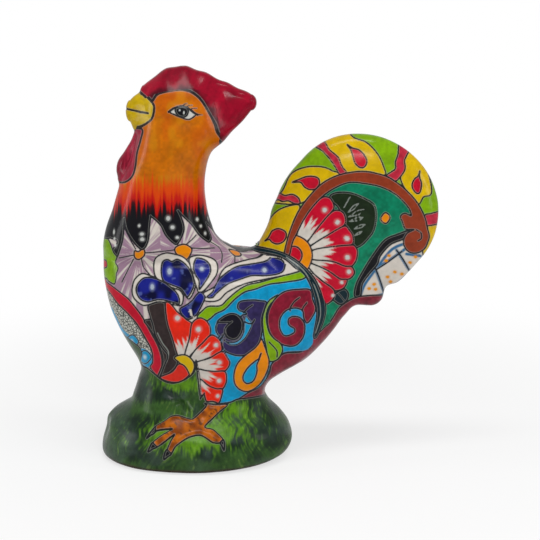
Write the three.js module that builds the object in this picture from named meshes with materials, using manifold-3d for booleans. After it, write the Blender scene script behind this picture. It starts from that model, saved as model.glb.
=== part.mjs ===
// A hollow earthenware rooster on a grassy mound, made the way a pottery makes it: the parts are pressed
// in plaster moulds, trimmed, and luted together with slip before the bisque firing.
// The trunk (belly, neck and head) and the tail are each two half shells that meet on the middle plane,
// the mound is one open shell, and the comb, the beak, the wattle and the two legs are pressed solid.
// Millimetres, +Z up. The bird faces -X, its left side is -Y, and it stands on Z = 0.

import * as THREE from "three";
import { mergeVertices } from "three/addons/utils/BufferGeometryUtils.js";
import Module from "manifold-3d";

const wasm = await Module();
wasm.setup();

// Clay and joints
const wall = 5.5; // thickness of the pressed clay in every hollow part
const luteGap = 0.3; // the slip joint between two parts
const ventRadius = 5; // hole that lets the hollow tail breathe into the trunk

// Seam between the mound and the trunk: a plane through the waist, higher at the breast
const seamRise = 2; // above the section called waist, at the upright axis
const seamTilt = 13.7; // degrees, falling towards the tail

// Upright sections of the mound and the trunk, from the floor to the brow. Each one lies a rise above
// the last, reaches forward and aft of the upright axis, and is twice its half width across. It is an
// ellipse where full is 2 and boxier above that, and taper is the share it loses towards the tail.
const upright = {
  sections: [
    { name: "foot ring", rise: 0, forward: 77, aft: 69, half: 57.5, full: 2.05, taper: 0 },
    { name: "foot roll", rise: 5, forward: 79.5, aft: 77, half: 61, full: 2.05, taper: 0 },
    { name: "mound", rise: 19, forward: 78, aft: 78, half: 60.5, full: 2.1, taper: 0 },
    { name: "mound shoulder", rise: 10, forward: 73.5, aft: 72.5, half: 56, full: 2.1, taper: 0 },
    { name: "mound slope", rise: 11, forward: 56, aft: 62.5, half: 48.5, full: 2.15, taper: 0 },
    { name: "back waist", rise: 9, forward: 52, aft: 58.5, half: 45.5, full: 2.2, taper: 0 },
    { name: "waist", rise: 12, forward: 48, aft: 64, half: 44.5, full: 2.25, taper: 0.02 },
    { name: "front waist", rise: 9, forward: 45.5, aft: 76.5, half: 46.5, full: 2.3, taper: 0.06 },
    { name: "under belly", rise: 9, forward: 48, aft: 93.5, half: 49, full: 2.3, taper: 0.12 },
    { name: "low belly", rise: 14, forward: 56, aft: 108.5, half: 52, full: 2.3, taper: 0.17 },
    { name: "belly", rise: 14, forward: 63.5, aft: 115, half: 53.5, full: 2.3, taper: 0.2 },
    { name: "flank", rise: 16, forward: 70, aft: 117, half: 53.5, full: 2.3, taper: 0.22 },
    { name: "breast", rise: 16, forward: 73.5, aft: 112, half: 51.5, full: 2.3, taper: 0.25 },
    { name: "high flank", rise: 14, forward: 75, aft: 99, half: 48.5, full: 2.25, taper: 0.29 },
    { name: "back", rise: 9, forward: 75, aft: 82, half: 45.5, full: 2.2, taper: 0.31 },
    { name: "saddle", rise: 5, forward: 75, aft: 64, half: 43.5, full: 2.15, taper: 0.29 },
    { name: "saddle top", rise: 3, forward: 75, aft: 43, half: 42.5, full: 2.1, taper: 0.22 },
    { name: "shoulder", rise: 5, forward: 75, aft: 28, half: 41.5, full: 2.1, taper: 0.15 },
    { name: "neck root", rise: 7, forward: 74, aft: 19, half: 39.5, full: 2.1, taper: 0.1 },
    { name: "hackle", rise: 10, forward: 71.5, aft: 14.5, half: 37.5, full: 2.1, taper: 0.07 },
    { name: "low neck", rise: 12, forward: 67, aft: 11, half: 35.5, full: 2.1, taper: 0.05 },
    { name: "neck", rise: 17, forward: 62, aft: 9, half: 34, full: 2.1, taper: 0.03 },
    { name: "throat", rise: 15, forward: 57.5, aft: 10, half: 33, full: 2.1, taper: 0.02 },
    { name: "jaw", rise: 12, forward: 51.5, aft: 13, half: 32.5, full: 2.15, taper: 0 },
    { name: "nape", rise: 12, forward: 47.5, aft: 19, half: 32, full: 2.2, taper: 0 },
    { name: "cheek", rise: 12, forward: 44.5, aft: 22.5, half: 30.5, full: 2.25, taper: 0 },
    { name: "brow", rise: 11, forward: 42, aft: 21, half: 28, full: 2.25, taper: 0 },
  ],
  crown: 26, // height of the skull's dome above the brow
};

// Lumps pressed into the mound by hand: how deep they are, and how many go round it
const lumpDepth = 1.6;
const lumpsRound = 5;

// Hollows pressed with a thumb into the mound, the same on both sides of the middle plane: where their
// middles lie from the upright axis, how deep they are, and how far they spread.
const thumbHollows = [
  { aft: -14, side: 46, height: 57, depth: 3.4, spread: 12 },
  { aft: -79, side: 10, height: 27, depth: 3, spread: 11 },
  { aft: 52, side: 36, height: 41, depth: 2.6, spread: 13 },
];

// The tail: a stem that widens into a round fan, on its own axis, which leans back from upright.
// Its front edge is on the saddle's side, and its under edge carries a small lower feather.
const tail = {
  lean: 39.5, // degrees from upright
  rootForward: 79, // from the upright axis to the root of the tail's own axis
  aboveFlank: 7, // from the section called flank up to the root of the tail's own axis
  sections: [
    { name: "inside the rump", rise: 0, forward: 44, aft: 40, half: 28, full: 2.5, taper: 0 },
    { name: "stem", rise: 34, forward: 48.5, aft: 45, half: 29, full: 2.5, taper: 0 },
    { name: "saddle side", rise: 18, forward: 49.5, aft: 45, half: 28, full: 2.5, taper: 0 },
    { name: "stem end", rise: 13, forward: 52, aft: 47, half: 26.5, full: 2.5, taper: 0 },
    { name: "lower feather", rise: 9, forward: 55, aft: 58, half: 25, full: 2.5, taper: 0 },
    { name: "feather tip", rise: 7, forward: 58.5, aft: 60, half: 24, full: 2.5, taper: 0 },
    { name: "notch", rise: 12, forward: 62, aft: 56, half: 22.5, full: 2.5, taper: 0 },
    { name: "fan", rise: 8, forward: 64.5, aft: 60.5, half: 21.5, full: 2.5, taper: 0 },
    { name: "wide fan", rise: 14, forward: 66.5, aft: 62, half: 20.5, full: 2.5, taper: 0 },
    { name: "fan middle", rise: 15, forward: 66, aft: 62.5, half: 20, full: 2.5, taper: 0 },
  ],
  buried: 34, // how far the axis root lies above the first section
  fan: 62, // length of the fan's round end past its middle
};

// The comb: a crest that lies along the head, from the beak to a blunt point behind the nape. A taper
// below 0 makes it thicker where it sits on the skull. Its upper edge is pinched into even waves.
const comb = {
  aboveBrow: 12, // height of its own axis above the section called brow
  front: -39.5, // start of its sections, measured aft from the upright axis
  blunt: 3, // length of its rounded front end
  point: 6, // length of its rounded hind end
  ripple: 0.5, // height of the finger-pressed waves along its top
  flute: 1.3, // depth of the same waves on its two sides
  rippleLength: 17,
  sections: [
    { name: "over the beak", rise: 0, forward: 11, aft: 3, half: 6.5, full: 2.6, taper: 0.2 },
    { name: "front", rise: 9, forward: 20, aft: 8, half: 9.5, full: 2.8, taper: -0.1 },
    { name: "rise", rise: 11, forward: 27, aft: 12, half: 11.5, full: 3, taper: -0.2 },
    { name: "top", rise: 12, forward: 26.5, aft: 15, half: 12, full: 3, taper: -0.25 },
    { name: "bend", rise: 13, forward: 24, aft: 22, half: 12, full: 3, taper: -0.25 },
    { name: "over the nape", rise: 12, forward: 18.5, aft: 34, half: 11.5, full: 2.8, taper: -0.2 },
    { name: "heel", rise: 5, forward: 16, aft: 34, half: 11, full: 2.8, taper: -0.15 },
    { name: "hind edge", rise: 9, forward: 12, aft: 26, half: 10.5, full: 2.7, taper: 0 },
    { name: "hind", rise: 9, forward: 8, aft: 17.5, half: 9, full: 2.6, taper: 0 },
    { name: "hind end", rise: 7, forward: 4, aft: 9.5, half: 7.5, full: 2.4, taper: 0 },
  ],
};

// The beak: a blunt wedge on the face, whose lower half hangs down to the throat
const beak = {
  aboveBrow: 3,
  root: -28, // start of its sections, measured aft from the upright axis; it grows forwards
  tip: 4.5,
  sections: [
    { name: "inside the face", rise: 0, forward: 9, aft: 16, half: 12.5, full: 2.1, taper: 0 },
    { name: "face", rise: 6, forward: 10.5, aft: 17, half: 12.5, full: 2.1, taper: 0 },
    { name: "brow", rise: 4, forward: 12, aft: 16.5, half: 12, full: 2.1, taper: 0 },
    { name: "gape", rise: 5, forward: 13.5, aft: 15, half: 10.5, full: 2.1, taper: 0 },
    { name: "chin", rise: 5, forward: 12.5, aft: 12, half: 9, full: 2.1, taper: 0 },
    { name: "blunt end", rise: 3, forward: 8.5, aft: 9.5, half: 7.5, full: 2.1, taper: 0 },
  ],
};

// The wattle: a drop of clay that hangs from the beak's underside down the throat
const wattle = {
  belowBeak: 55, // from the beak's own axis down to the first section
  forward: 55, // its own axis, forward of the upright axis
  drop: 5.5, // rounded lower end
  stalk: 3, // rounded upper end
  sections: [
    { name: "lower lobe", rise: 0, forward: 8, aft: 5, half: 8, full: 2, taper: 0 },
    { name: "lobe", rise: 6, forward: 9, aft: 6, half: 10, full: 2, taper: 0 },
    { name: "upper lobe", rise: 8, forward: 8, aft: 7, half: 9.5, full: 2, taper: 0 },
    { name: "shank", rise: 8, forward: 3, aft: 9, half: 7, full: 2, taper: 0 },
    { name: "stalk", rise: 9, forward: -2, aft: 10, half: 5, full: 2, taper: 0 },
    { name: "under the beak", rise: 6, forward: -5.5, aft: 11, half: 4, full: 2, taper: 0 },
  ],
};

// Legs in low relief on the mound's sides. Each is a list of stops: how far aft of the upright axis, how
// high above the floor, and half the width of the flattened roll of clay there.
const legFlat = 0.36; // height of a roll above the mound, as a share of its half width
const legRolls = {
  shank: [
    [25, 57, 11],
    [18, 49, 9.5],
    [9, 41.5, 8.5],
    [1, 36, 8],
  ],
  inner_toe: [
    [3, 37, 7],
    [-10, 41, 7],
    [-21, 38.5, 6],
    [-31, 32.5, 4.4],
    [-38, 25, 2.2],
  ],
  middle_toe: [
    [0, 35, 6.5],
    [-12, 32, 5.6],
    [-22, 26, 5],
    [-31, 20.5, 4],
    [-37, 14, 2.2],
  ],
  outer_toe: [
    [3, 33, 6.5],
    [-7, 27, 6],
    [-14, 20.5, 5.2],
    [-20, 13.5, 4],
    [-25, 7.5, 2.2],
  ],
  hind_toe: [
    [4, 34, 6.5],
    [13, 32, 5.8],
    [20, 27, 5],
    [24.5, 21, 4],
    [26.5, 14, 2.2],
  ],
};

// Mesh fineness
const turnSteps = 36; // points round the upright sections
const tailSteps = 28; // the same round the tail
const pieceSteps = 20; // the same round the comb, the beak and the wattle
const liningSteps = 20; // the same round the linings
const stepHeight = 6; // rise between rings
const bendStep = 2.5; // the same through the saddle, where the back turns level
const domeSteps = 6;
const rollSteps = 10; // points round a roll of clay

// Between two stops a value follows a cubic whose slope at each stop is the mean of its neighbours'.
function smooth(stops, values, at) {
  const last = stops.length - 1;
  let i = 0;
  while (i < last - 1 && at > stops[i + 1]) i += 1;
  const slope = (k) => {
    const back = Math.max(k - 1, 0);
    const next = Math.min(k + 1, last);
    const before = k > 0 ? (values[k] - values[back]) / (stops[k] - stops[back]) : null;
    const after = k < last ? (values[next] - values[k]) / (stops[next] - stops[k]) : null;
    if (before === null) return after;
    return after === null ? before : (before + after) / 2;
  };
  const width = stops[i + 1] - stops[i];
  const t = Math.min(Math.max((at - stops[i]) / width, 0), 1);
  const [t2, t3] = [t * t, t * t * t];
  return (
    (2 * t3 - 3 * t2 + 1) * values[i] +
    (t3 - 2 * t2 + t) * width * slope(i) +
    (3 * t2 - 2 * t3) * values[i + 1] +
    (t3 - t2) * width * slope(i + 1)
  );
}

// A form's sections as functions of the height along its own axis.
function profileOf(sections) {
  let height = 0;
  const stops = sections.map(({ rise }) => (height += rise));
  const read = (key) => (at) => smooth(stops, sections.map((s) => s[key]), at);
  return {
    stops,
    length: height,
    forward: read("forward"),
    aft: read("aft"),
    half: read("half"),
    full: read("full"),
    taper: read("taper"),
  };
}

// One closed section: a superellipse between its forward and aft reach, narrower aft by its taper.
function ringOf({ forward, aft, half, full, taper }, height, steps) {
  const middle = (aft - forward) / 2;
  const reach = (aft + forward) / 2;
  const power = 2 / full;
  return Array.from({ length: steps }, (_, i) => {
    const turn = (2 * Math.PI * i) / steps;
    const [c, s] = [Math.cos(turn), Math.sin(turn)];
    const x = middle + reach * Math.sign(c) * Math.abs(c) ** power;
    const narrow = 1 - (taper * (x + forward)) / (2 * reach);
    const y = half * narrow * Math.sign(s) * Math.abs(s) ** power;
    return new THREE.Vector3(x, y, height);
  });
}

// A closed skin over rings of equal count, with a fan to a middle point at each end.
function skinOf(rings, startPoint, endPoint) {
  const steps = rings[0].length;
  const points = [...rings.flat(), startPoint, endPoint];
  const [startIndex, endIndex] = [points.length - 2, points.length - 1];
  const faces = [];
  for (let i = 0; i < steps; i += 1) {
    const next = (i + 1) % steps;
    for (let k = 0; k + 1 < rings.length; k += 1) {
      const [a, b] = [k * steps + i, k * steps + next];
      const [c, d] = [a + steps, b + steps];
      faces.push(a, b, d, a, d, c);
    }
    const top = (rings.length - 1) * steps;
    faces.push(startIndex, next, i, endIndex, top + i, top + next);
  }
  const geometry = new THREE.BufferGeometry();
  geometry.setFromPoints(points);
  geometry.setIndex(faces);
  return geometry;
}

const middleOf = (ring) =>
  ring.reduce((sum, p) => sum.add(p), new THREE.Vector3()).divideScalar(ring.length);

// A form from its profile: rings at the given heights, and a rounded end where it has one. shrink takes
// the same thickness off every reach, which gives the lining of a hollow part.
function formOf(form, { heights, steps, startDome = 0, endDome = 0, shrink = 0, change = (p) => p }) {
  const profile = profileOf(form.sections);
  const at = (height, scale, shift) => {
    const section = {
      forward: (profile.forward(height) - shrink) * scale,
      aft: (profile.aft(height) - shrink) * scale,
      half: (profile.half(height) - shrink) * scale,
      full: profile.full(height),
      taper: profile.taper(height),
    };
    const drift = ((profile.aft(height) - profile.forward(height)) / 2) * (1 - scale);
    const ring = ringOf(section, height + shift, steps);
    return ring.map((p) => change(p.setX(p.x + drift)));
  };
  const angles = Array.from({ length: domeSteps - 1 }, (_, i) => ((i + 1) * Math.PI) / 2 / domeSteps);
  const rings = heights.map((height) => at(height, 1, 0));
  const [low, high] = [heights[0], heights[heights.length - 1]];
  if (startDome > 0)
    for (const angle of angles) rings.unshift(at(low, Math.cos(angle), -startDome * Math.sin(angle)));
  if (endDome > 0)
    for (const angle of angles) rings.push(at(high, Math.cos(angle), endDome * Math.sin(angle)));
  const start = middleOf(rings[0]);
  const end = middleOf(rings[rings.length - 1]);
  if (startDome > 0) start.z = low - startDome;
  if (endDome > 0) end.z = high + endDome;
  return skinOf(rings, start, end);
}

const spread = (from, to, step) => {
  const count = Math.max(1, Math.round((to - from) / step));
  return Array.from({ length: count + 1 }, (_, i) => from + ((to - from) * i) / count);
};

// Solids for joining and cutting
function solidOf(geometry) {
  const bare = new THREE.BufferGeometry();
  bare.setAttribute("position", geometry.getAttribute("position"));
  bare.setIndex(geometry.getIndex());
  const merged = mergeVertices(bare, 1e-4);
  return new wasm.Manifold(
    new wasm.Mesh({
      numProp: 3,
      vertProperties: new Float32Array(merged.getAttribute("position").array),
      triVerts: new Uint32Array(merged.getIndex().array),
    }),
  );
}

function geometryOf(solid) {
  const { vertProperties, triVerts } = solid.getMesh();
  const geometry = new THREE.BufferGeometry();
  geometry.setAttribute("position", new THREE.BufferAttribute(vertProperties, 3));
  geometry.setIndex(new THREE.BufferAttribute(triVerts, 1));
  return geometry;
}

// The same skin moved along its own normals: outwards for a clearance, inwards for a lining.
function offset(geometry, distance) {
  const moved = geometry.clone();
  moved.computeVertexNormals();
  const position = moved.getAttribute("position");
  const normal = moved.getAttribute("normal");
  const point = new THREE.Vector3();
  const push = new THREE.Vector3();
  for (let i = 0; i < position.count; i += 1) {
    push.fromBufferAttribute(normal, i).multiplyScalar(distance);
    point.fromBufferAttribute(position, i).add(push);
    position.setXYZ(i, point.x, point.y, point.z);
  }
  moved.deleteAttribute("normal");
  return moved;
}

const block = (sizeX, sizeY, sizeZ, place) =>
  solidOf(new THREE.BoxGeometry(sizeX, sizeY, sizeZ).applyMatrix4(place));

const moveTo = (x, y, z) => new THREE.Matrix4().makeTranslation(x, y, z);
const movedBy = (solid, matrix) => solid.transform(Array.from(matrix.elements));

// The mound and the trunk share one skin
const uprightProfile = profileOf(upright.sections);
const heightOf = (name) =>
  uprightProfile.stops[upright.sections.findIndex((section) => section.name === name)];
const moundTop = heightOf("back waist");
const browHeight = heightOf("brow");
const crownHeight = browHeight + upright.crown;
const seamHeight = heightOf("waist") + seamRise;
const tailHeight = heightOf("flank") + tail.aboveFlank;
const combHeight = browHeight + comb.aboveBrow;
const beakHeight = browHeight + beak.aboveBrow;
const wattleHeight = beakHeight - wattle.belowBeak;

// Hand-pressed lumps fade out at the floor and at the waist.
function lumpy(point) {
  const share = THREE.MathUtils.clamp(point.z / moundTop, 0, 1);
  const turn = Math.atan2(point.y, point.x);
  const broad = Math.cos(lumpsRound * turn) * Math.cos(4 * share);
  const drifting = Math.cos((lumpsRound - 2) * turn) * Math.sin(4 * share);
  const wave = (broad + drifting) * Math.sin(Math.PI * share) ** 2;
  const outwards = new THREE.Vector3(point.x, point.y, 0).normalize();
  const pressed = thumbHollows.reduce((sum, hollow) => {
    const middle = new THREE.Vector3(hollow.aft, Math.sign(point.y) * hollow.side, hollow.height);
    const away = middle.distanceTo(point) / hollow.spread;
    return sum + hollow.depth * Math.exp(-away * away);
  }, 0);
  return point.addScaledVector(outwards, lumpDepth * wave - pressed);
}

const uprightHeights = [
  ...spread(0, heightOf("foot roll"), bendStep),
  ...spread(heightOf("foot roll"), heightOf("back"), stepHeight).slice(1),
  ...spread(heightOf("back"), heightOf("neck root"), bendStep).slice(1),
  ...spread(heightOf("neck root"), browHeight, stepHeight).slice(1),
];
const uprightSkin = formOf(upright, {
  heights: uprightHeights,
  steps: turnSteps,
  endDome: upright.crown,
  change: lumpy,
});
const uprightSolid = solidOf(uprightSkin);
const uprightClear = solidOf(offset(uprightSkin, luteGap));

// The lining is the skin moved in by the wall. Its lowest stretch starts below the floor, so that the
// mound is open underneath.
const liningSource = formOf(upright, {
  heights: [
    ...spread(0, heightOf("back"), 2 * stepHeight),
    ...spread(heightOf("back"), heightOf("neck root"), stepHeight).slice(1),
    ...spread(heightOf("neck root"), browHeight, 2 * stepHeight).slice(1),
  ],
  steps: liningSteps,
  endDome: upright.crown,
});
const footHeight = heightOf("foot roll");
const footHeights = [-1, 0, footHeight / 2, footHeight, footHeight + wall];
const footLining = solidOf(formOf(upright, { heights: footHeights, steps: liningSteps, shrink: wall }));
const lining = solidOf(offset(liningSource, -wall)).add(footLining);
const uprightShell = uprightSolid.subtract(lining);

// The waist seam divides the shell into the mound below and the trunk above.
const bench = 2 * crownHeight; // size of the cutting blocks, larger than the bird
const seamPlace = moveTo(0, 0, seamHeight).multiply(
  new THREE.Matrix4().makeRotationY(THREE.MathUtils.degToRad(seamTilt)),
);
const halfGap = luteGap / 2;
const aboveSeam = block(bench, bench, bench, seamPlace.clone().multiply(moveTo(0, 0, bench / 2 + halfGap)));
const belowSeam = block(bench, bench, bench, seamPlace.clone().multiply(moveTo(0, 0, -bench / 2 - halfGap)));
const onSide = (side) => block(bench, bench, 2 * bench, moveTo(0, side * (bench / 2 + halfGap), 0));

// The tail, in its own frame: +Z along the tail's axis, -X on its front edge
const tailPlace = moveTo(tail.rootForward, 0, tailHeight)
  .multiply(new THREE.Matrix4().makeRotationY(THREE.MathUtils.degToRad(tail.lean)))
  .multiply(moveTo(0, 0, -tail.buried));
const tailLength = profileOf(tail.sections).length;
const tailSolid = solidOf(
  formOf(tail, {
    heights: spread(0, tailLength, stepHeight),
    steps: tailSteps,
    endDome: tail.fan,
  }),
);
const tailLining = solidOf(
  formOf(tail, {
    heights: spread(0, tailLength, 2 * stepHeight),
    steps: liningSteps,
    endDome: tail.fan - wall,
    shrink: wall,
  }),
);
const toTail = tailPlace.clone().invert();
const tailShell = tailSolid.subtract(tailLining).subtract(movedBy(uprightClear, toTail));

// The vent runs along the tail's axis through the trunk's wall.
const vent = solidOf(
  new THREE.CylinderGeometry(ventRadius, ventRadius, 2 * tail.buried, rollSteps)
    .rotateX(Math.PI / 2)
    .applyMatrix4(tailPlace.clone().multiply(moveTo(0, 0, 2 * tail.buried))),
);

const mound = uprightShell.intersect(belowSeam);
const trunk = uprightShell.intersect(aboveSeam).subtract(vent);

// The comb lies along +X, so its own axis is turned to point aft and its forward reach points up.
const combPlace = moveTo(comb.front, 0, combHeight).multiply(new THREE.Matrix4().makeRotationY(Math.PI / 2));
const combLength = profileOf(comb.sections).length;
function rippled(point) {
  const edge = Math.min(Math.max(-point.x, 0) / comb.sections[0].forward, 1);
  const wave = Math.cos((2 * Math.PI * point.z) / comb.rippleLength);
  point.x -= comb.ripple * wave * edge;
  point.y += comb.flute * wave * edge * Math.sign(point.y) * Math.min(Math.abs(point.y) / comb.flute, 1);
  return point;
}
const combSolid = solidOf(
  formOf(comb, {
    heights: spread(0, combLength, stepHeight),
    steps: pieceSteps,
    startDome: comb.blunt,
    endDome: comb.point,
    change: rippled,
  }),
);

// The beak grows forwards, so its own axis points to -X and its aft reach points up.
const beakPlace = moveTo(beak.root, 0, beakHeight).multiply(new THREE.Matrix4().makeRotationY(-Math.PI / 2));
const beakLength = profileOf(beak.sections).length;
const beakSolid = solidOf(
  formOf(beak, {
    heights: spread(0, beakLength, bendStep),
    steps: pieceSteps,
    endDome: beak.tip,
  }),
);

const wattlePlace = moveTo(-wattle.forward, 0, wattleHeight);
const wattleLength = profileOf(wattle.sections).length;
const wattleSolid = solidOf(
  formOf(wattle, {
    heights: spread(0, wattleLength, stepHeight),
    steps: pieceSteps,
    startDome: wattle.drop,
    endDome: wattle.stalk,
  }),
);

// The comb is trimmed to the skull, the beak to both, and the wattle to all three.
const inFrameOf = (solid, place) => movedBy(solid, place.clone().invert());
const grownComb = movedBy(solidOf(offset(geometryOf(combSolid), luteGap)), combPlace);
const grownBeak = movedBy(solidOf(offset(geometryOf(beakSolid), luteGap)), beakPlace);
const combPiece = combSolid.subtract(inFrameOf(uprightClear, combPlace));
const beakPiece = beakSolid.subtract(inFrameOf(uprightClear.add(grownComb), beakPlace));
const wattlePiece = wattleSolid.subtract(inFrameOf(uprightClear.add(grownBeak), wattlePlace));

// A leg: tapered, flattened rolls of clay laid on the mound's side, joined, and trimmed to the mound
function onMound(aft, height, side) {
  const [forwardReach, aftReach] = [uprightProfile.forward(height), uprightProfile.aft(height)];
  const full = uprightProfile.full(height);
  const reach = (forwardReach + aftReach) / 2;
  const share = Math.abs(aft - (aftReach - forwardReach) / 2) / reach;
  const left = Math.max(1 - Math.min(share, 1) ** full, 0) ** (1 / full);
  return lumpy(new THREE.Vector3(aft, side * uprightProfile.half(height) * left, height));
}

function rollOf(stops, side) {
  const curve = new THREE.CatmullRomCurve3(stops.map(([aft, height]) => onMound(aft, height, side)));
  const spans = stops.length - 1;
  const shares = stops.map((_, i) => i / spans);
  const read = (index, t) => smooth(shares, stops.map((stop) => stop[index]), t);
  const outOf = (t) => {
    const [aft, height] = [read(0, t), read(1, t)];
    const alongX = onMound(aft + 1, height, side).sub(onMound(aft - 1, height, side));
    const alongZ = onMound(aft, height + 1, side).sub(onMound(aft, height - 1, side));
    return alongX.cross(alongZ).multiplyScalar(-side).normalize();
  };
  const count = spans * 2;
  const rings = [];
  const caps = [];
  for (let k = 0; k <= count; k += 1) {
    const t = k / count;
    const centre = curve.getPoint(t);
    const along = curve.getTangent(t).normalize();
    const across = new THREE.Vector3().crossVectors(outOf(t), along).normalize();
    const out = new THREE.Vector3().crossVectors(along, across).normalize();
    const half = read(2, t);
    const corner = (_, i) => {
      const turn = (2 * Math.PI * i) / rollSteps;
      const sideways = across.clone().multiplyScalar(half * Math.cos(turn));
      return centre.clone().add(sideways).addScaledVector(out, legFlat * half * Math.sin(turn));
    };
    rings.push(Array.from({ length: rollSteps }, corner));
    if (k === 0) caps.push(centre.clone().addScaledVector(along, -half / 2));
    if (k === count) caps.push(centre.clone().addScaledVector(along, half / 2));
  }
  return solidOf(skinOf(rings, caps[0], caps[1]));
}

const legOf = (side) =>
  Object.values(legRolls)
    .map((stops) => rollOf(stops, side))
    .reduce((leg, roll) => leg.add(roll))
    .subtract(uprightClear);

// Glazes
const glaze = (color, roughness = 0.18) => new THREE.MeshStandardMaterial({ color, roughness, metalness: 0 });
const glazes = {
  grass: glaze(0x2f5a1c),
  trunk: glaze(0xd06a10),
  tail: glaze(0x0c8a62),
  red: glaze(0x9c0824),
  yellow: glaze(0xc9a800),
  leg: glaze(0xc06a12),
};

const figurine = new THREE.Group();
const frameOf = (place) => {
  const group = new THREE.Group();
  place.decompose(group.position, group.quaternion, group.scale);
  figurine.add(group);
  return group;
};

function addPiece(parent, name, solid, material) {
  const mesh = new THREE.Mesh(geometryOf(solid), material);
  mesh.name = name;
  parent.add(mesh);
}

addPiece(figurine, "mound", mound, glazes.grass);
const tailFrame = frameOf(tailPlace);
for (const [name, side] of [["left", -1], ["right", 1]]) {
  addPiece(figurine, "trunk_" + name, trunk.intersect(onSide(side)), glazes.trunk);
  addPiece(tailFrame, "tail_" + name, tailShell.intersect(onSide(side)), glazes.tail);
  addPiece(figurine, "leg_" + name, legOf(side), glazes.leg);
}
addPiece(frameOf(combPlace), "comb", combPiece, glazes.red);
addPiece(frameOf(beakPlace), "beak", beakPiece, glazes.yellow);
addPiece(frameOf(wattlePlace), "wattle", wattlePiece, glazes.red);

// The frame's origin is on the floor, below the middle of the whole figurine.
const extent = new THREE.Box3().setFromObject(figurine, true);
figurine.position.x = -(extent.min.x + extent.max.x) / 2;

export default figurine;
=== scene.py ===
# %% [markdown]
# A painted earthenware rooster on a grassy mound
#
# The real bird is hollow pottery: pressed shells of red clay are luted together with slip, fired, painted
# with coloured glazes between drawn black lines, and fired again under a clear glaze. This lesson dresses
# the solid model of that bird. First it loads the solid model, which fixes every size and place.

# %% Load the solid model
import math

import bpy
import numpy as np
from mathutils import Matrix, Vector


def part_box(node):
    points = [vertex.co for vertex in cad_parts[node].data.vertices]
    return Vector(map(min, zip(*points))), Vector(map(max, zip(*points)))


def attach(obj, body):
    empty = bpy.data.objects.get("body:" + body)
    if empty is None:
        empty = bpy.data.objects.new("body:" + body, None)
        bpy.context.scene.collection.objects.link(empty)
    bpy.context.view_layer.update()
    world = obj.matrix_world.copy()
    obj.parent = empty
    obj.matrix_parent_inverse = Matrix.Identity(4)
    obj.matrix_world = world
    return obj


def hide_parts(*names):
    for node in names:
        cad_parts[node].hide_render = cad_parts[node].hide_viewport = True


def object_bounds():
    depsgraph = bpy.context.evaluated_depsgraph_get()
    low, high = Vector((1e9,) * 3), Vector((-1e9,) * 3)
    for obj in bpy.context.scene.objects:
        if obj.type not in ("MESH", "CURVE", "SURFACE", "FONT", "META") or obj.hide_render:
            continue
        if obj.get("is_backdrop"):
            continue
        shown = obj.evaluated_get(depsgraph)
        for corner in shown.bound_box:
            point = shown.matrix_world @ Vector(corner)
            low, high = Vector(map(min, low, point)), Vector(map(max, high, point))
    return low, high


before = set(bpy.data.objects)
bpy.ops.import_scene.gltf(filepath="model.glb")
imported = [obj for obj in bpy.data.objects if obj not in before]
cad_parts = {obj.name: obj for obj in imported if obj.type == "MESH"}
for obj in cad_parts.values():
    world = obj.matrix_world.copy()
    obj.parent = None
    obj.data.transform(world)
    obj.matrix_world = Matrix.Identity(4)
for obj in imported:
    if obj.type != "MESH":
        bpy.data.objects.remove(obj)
cad_low, cad_high = (np.array(corner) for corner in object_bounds())
print("CAD box", cad_low, cad_high)

# %% [markdown]
# The camera comes early, because the painted decoration is laid out as the photograph shows it: each
# outline is a list of points on the picture, and the surface is asked where it lies in that picture. The
# photograph was taken from the bird's left side, a little above it, with a long lens.

# %% Camera of the photograph
MM = 0.001
picture = 540  # pixels across
camera_side = 1.5  # mm, where the camera stands along the bird
camera_distance = 1400.0
camera_rise = math.radians(13.0)
camera_aim = 158.0  # mm above the floor
focal = 1686.7  # pixels
middle = (269.5, 270.0)  # pixels
film = 36.0  # mm

camera_place = np.array([
    camera_side,
    -camera_distance * math.cos(camera_rise),
    camera_aim + camera_distance * math.sin(camera_rise),
])
ahead = np.array([0.0, math.cos(camera_rise), -math.sin(camera_rise)])
upward = np.array([0.0, math.sin(camera_rise), math.cos(camera_rise)])


def seen(points):
    """Where points in mm fall in the picture. The far side is folded onto the near side."""
    offset = np.stack([points[:, 0], -np.abs(points[:, 1]), points[:, 2]], 1) - camera_place
    depth = offset @ ahead
    across = middle[0] + focal * offset[:, 0] / depth
    down = middle[1] - focal * (offset @ upward) / depth
    return np.stack([across, down], 1)


camera = bpy.data.objects.new("camera", bpy.data.cameras.new("camera"))
camera.data.sensor_width = film
camera.data.lens = focal / picture * film
camera.location = camera_place * MM
camera.rotation_euler = (math.pi / 2 - camera_rise, 0.0, 0.0)
bpy.context.collection.objects.link(camera)
bpy.context.scene.camera = camera
print("camera at", tuple(round(v, 4) for v in camera.location))

# %% [markdown]
# Every large part of the bird is a loft: rounded sections along a straight axis, which can lean. The same
# driving sections stand in the solid model, and here they carry a much finer skin. A loft is chosen over
# sculpting because each section is a size that a potter could measure, and any number of rings follows.

# %% Sections along an axis
def follow(stops, values, at):
    """A cubic through the stops, whose slope at each one is the mean of its neighbours' slopes."""
    rise = np.diff(values) / np.diff(stops)
    slope = np.concatenate([rise[:1], (rise[:-1] + rise[1:]) / 2, rise[-1:]])
    i = np.clip(np.searchsorted(stops, at, side="right") - 1, 0, len(stops) - 2)
    width = stops[i + 1] - stops[i]
    t = np.clip((at - stops[i]) / width, 0, 1)
    value = (2 * t**3 - 3 * t**2 + 1) * values[i] + (3 * t**2 - 2 * t**3) * values[i + 1]
    return value + width * ((t**3 - 2 * t**2 + t) * slope[i] + (t**3 - t**2) * slope[i + 1])


# %% [markdown]
# A form keeps its table of sections and can answer two questions: where its skin runs, which gives the
# grid of points, and how far any point lies from that skin, which the fillets and the cuts need.

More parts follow.
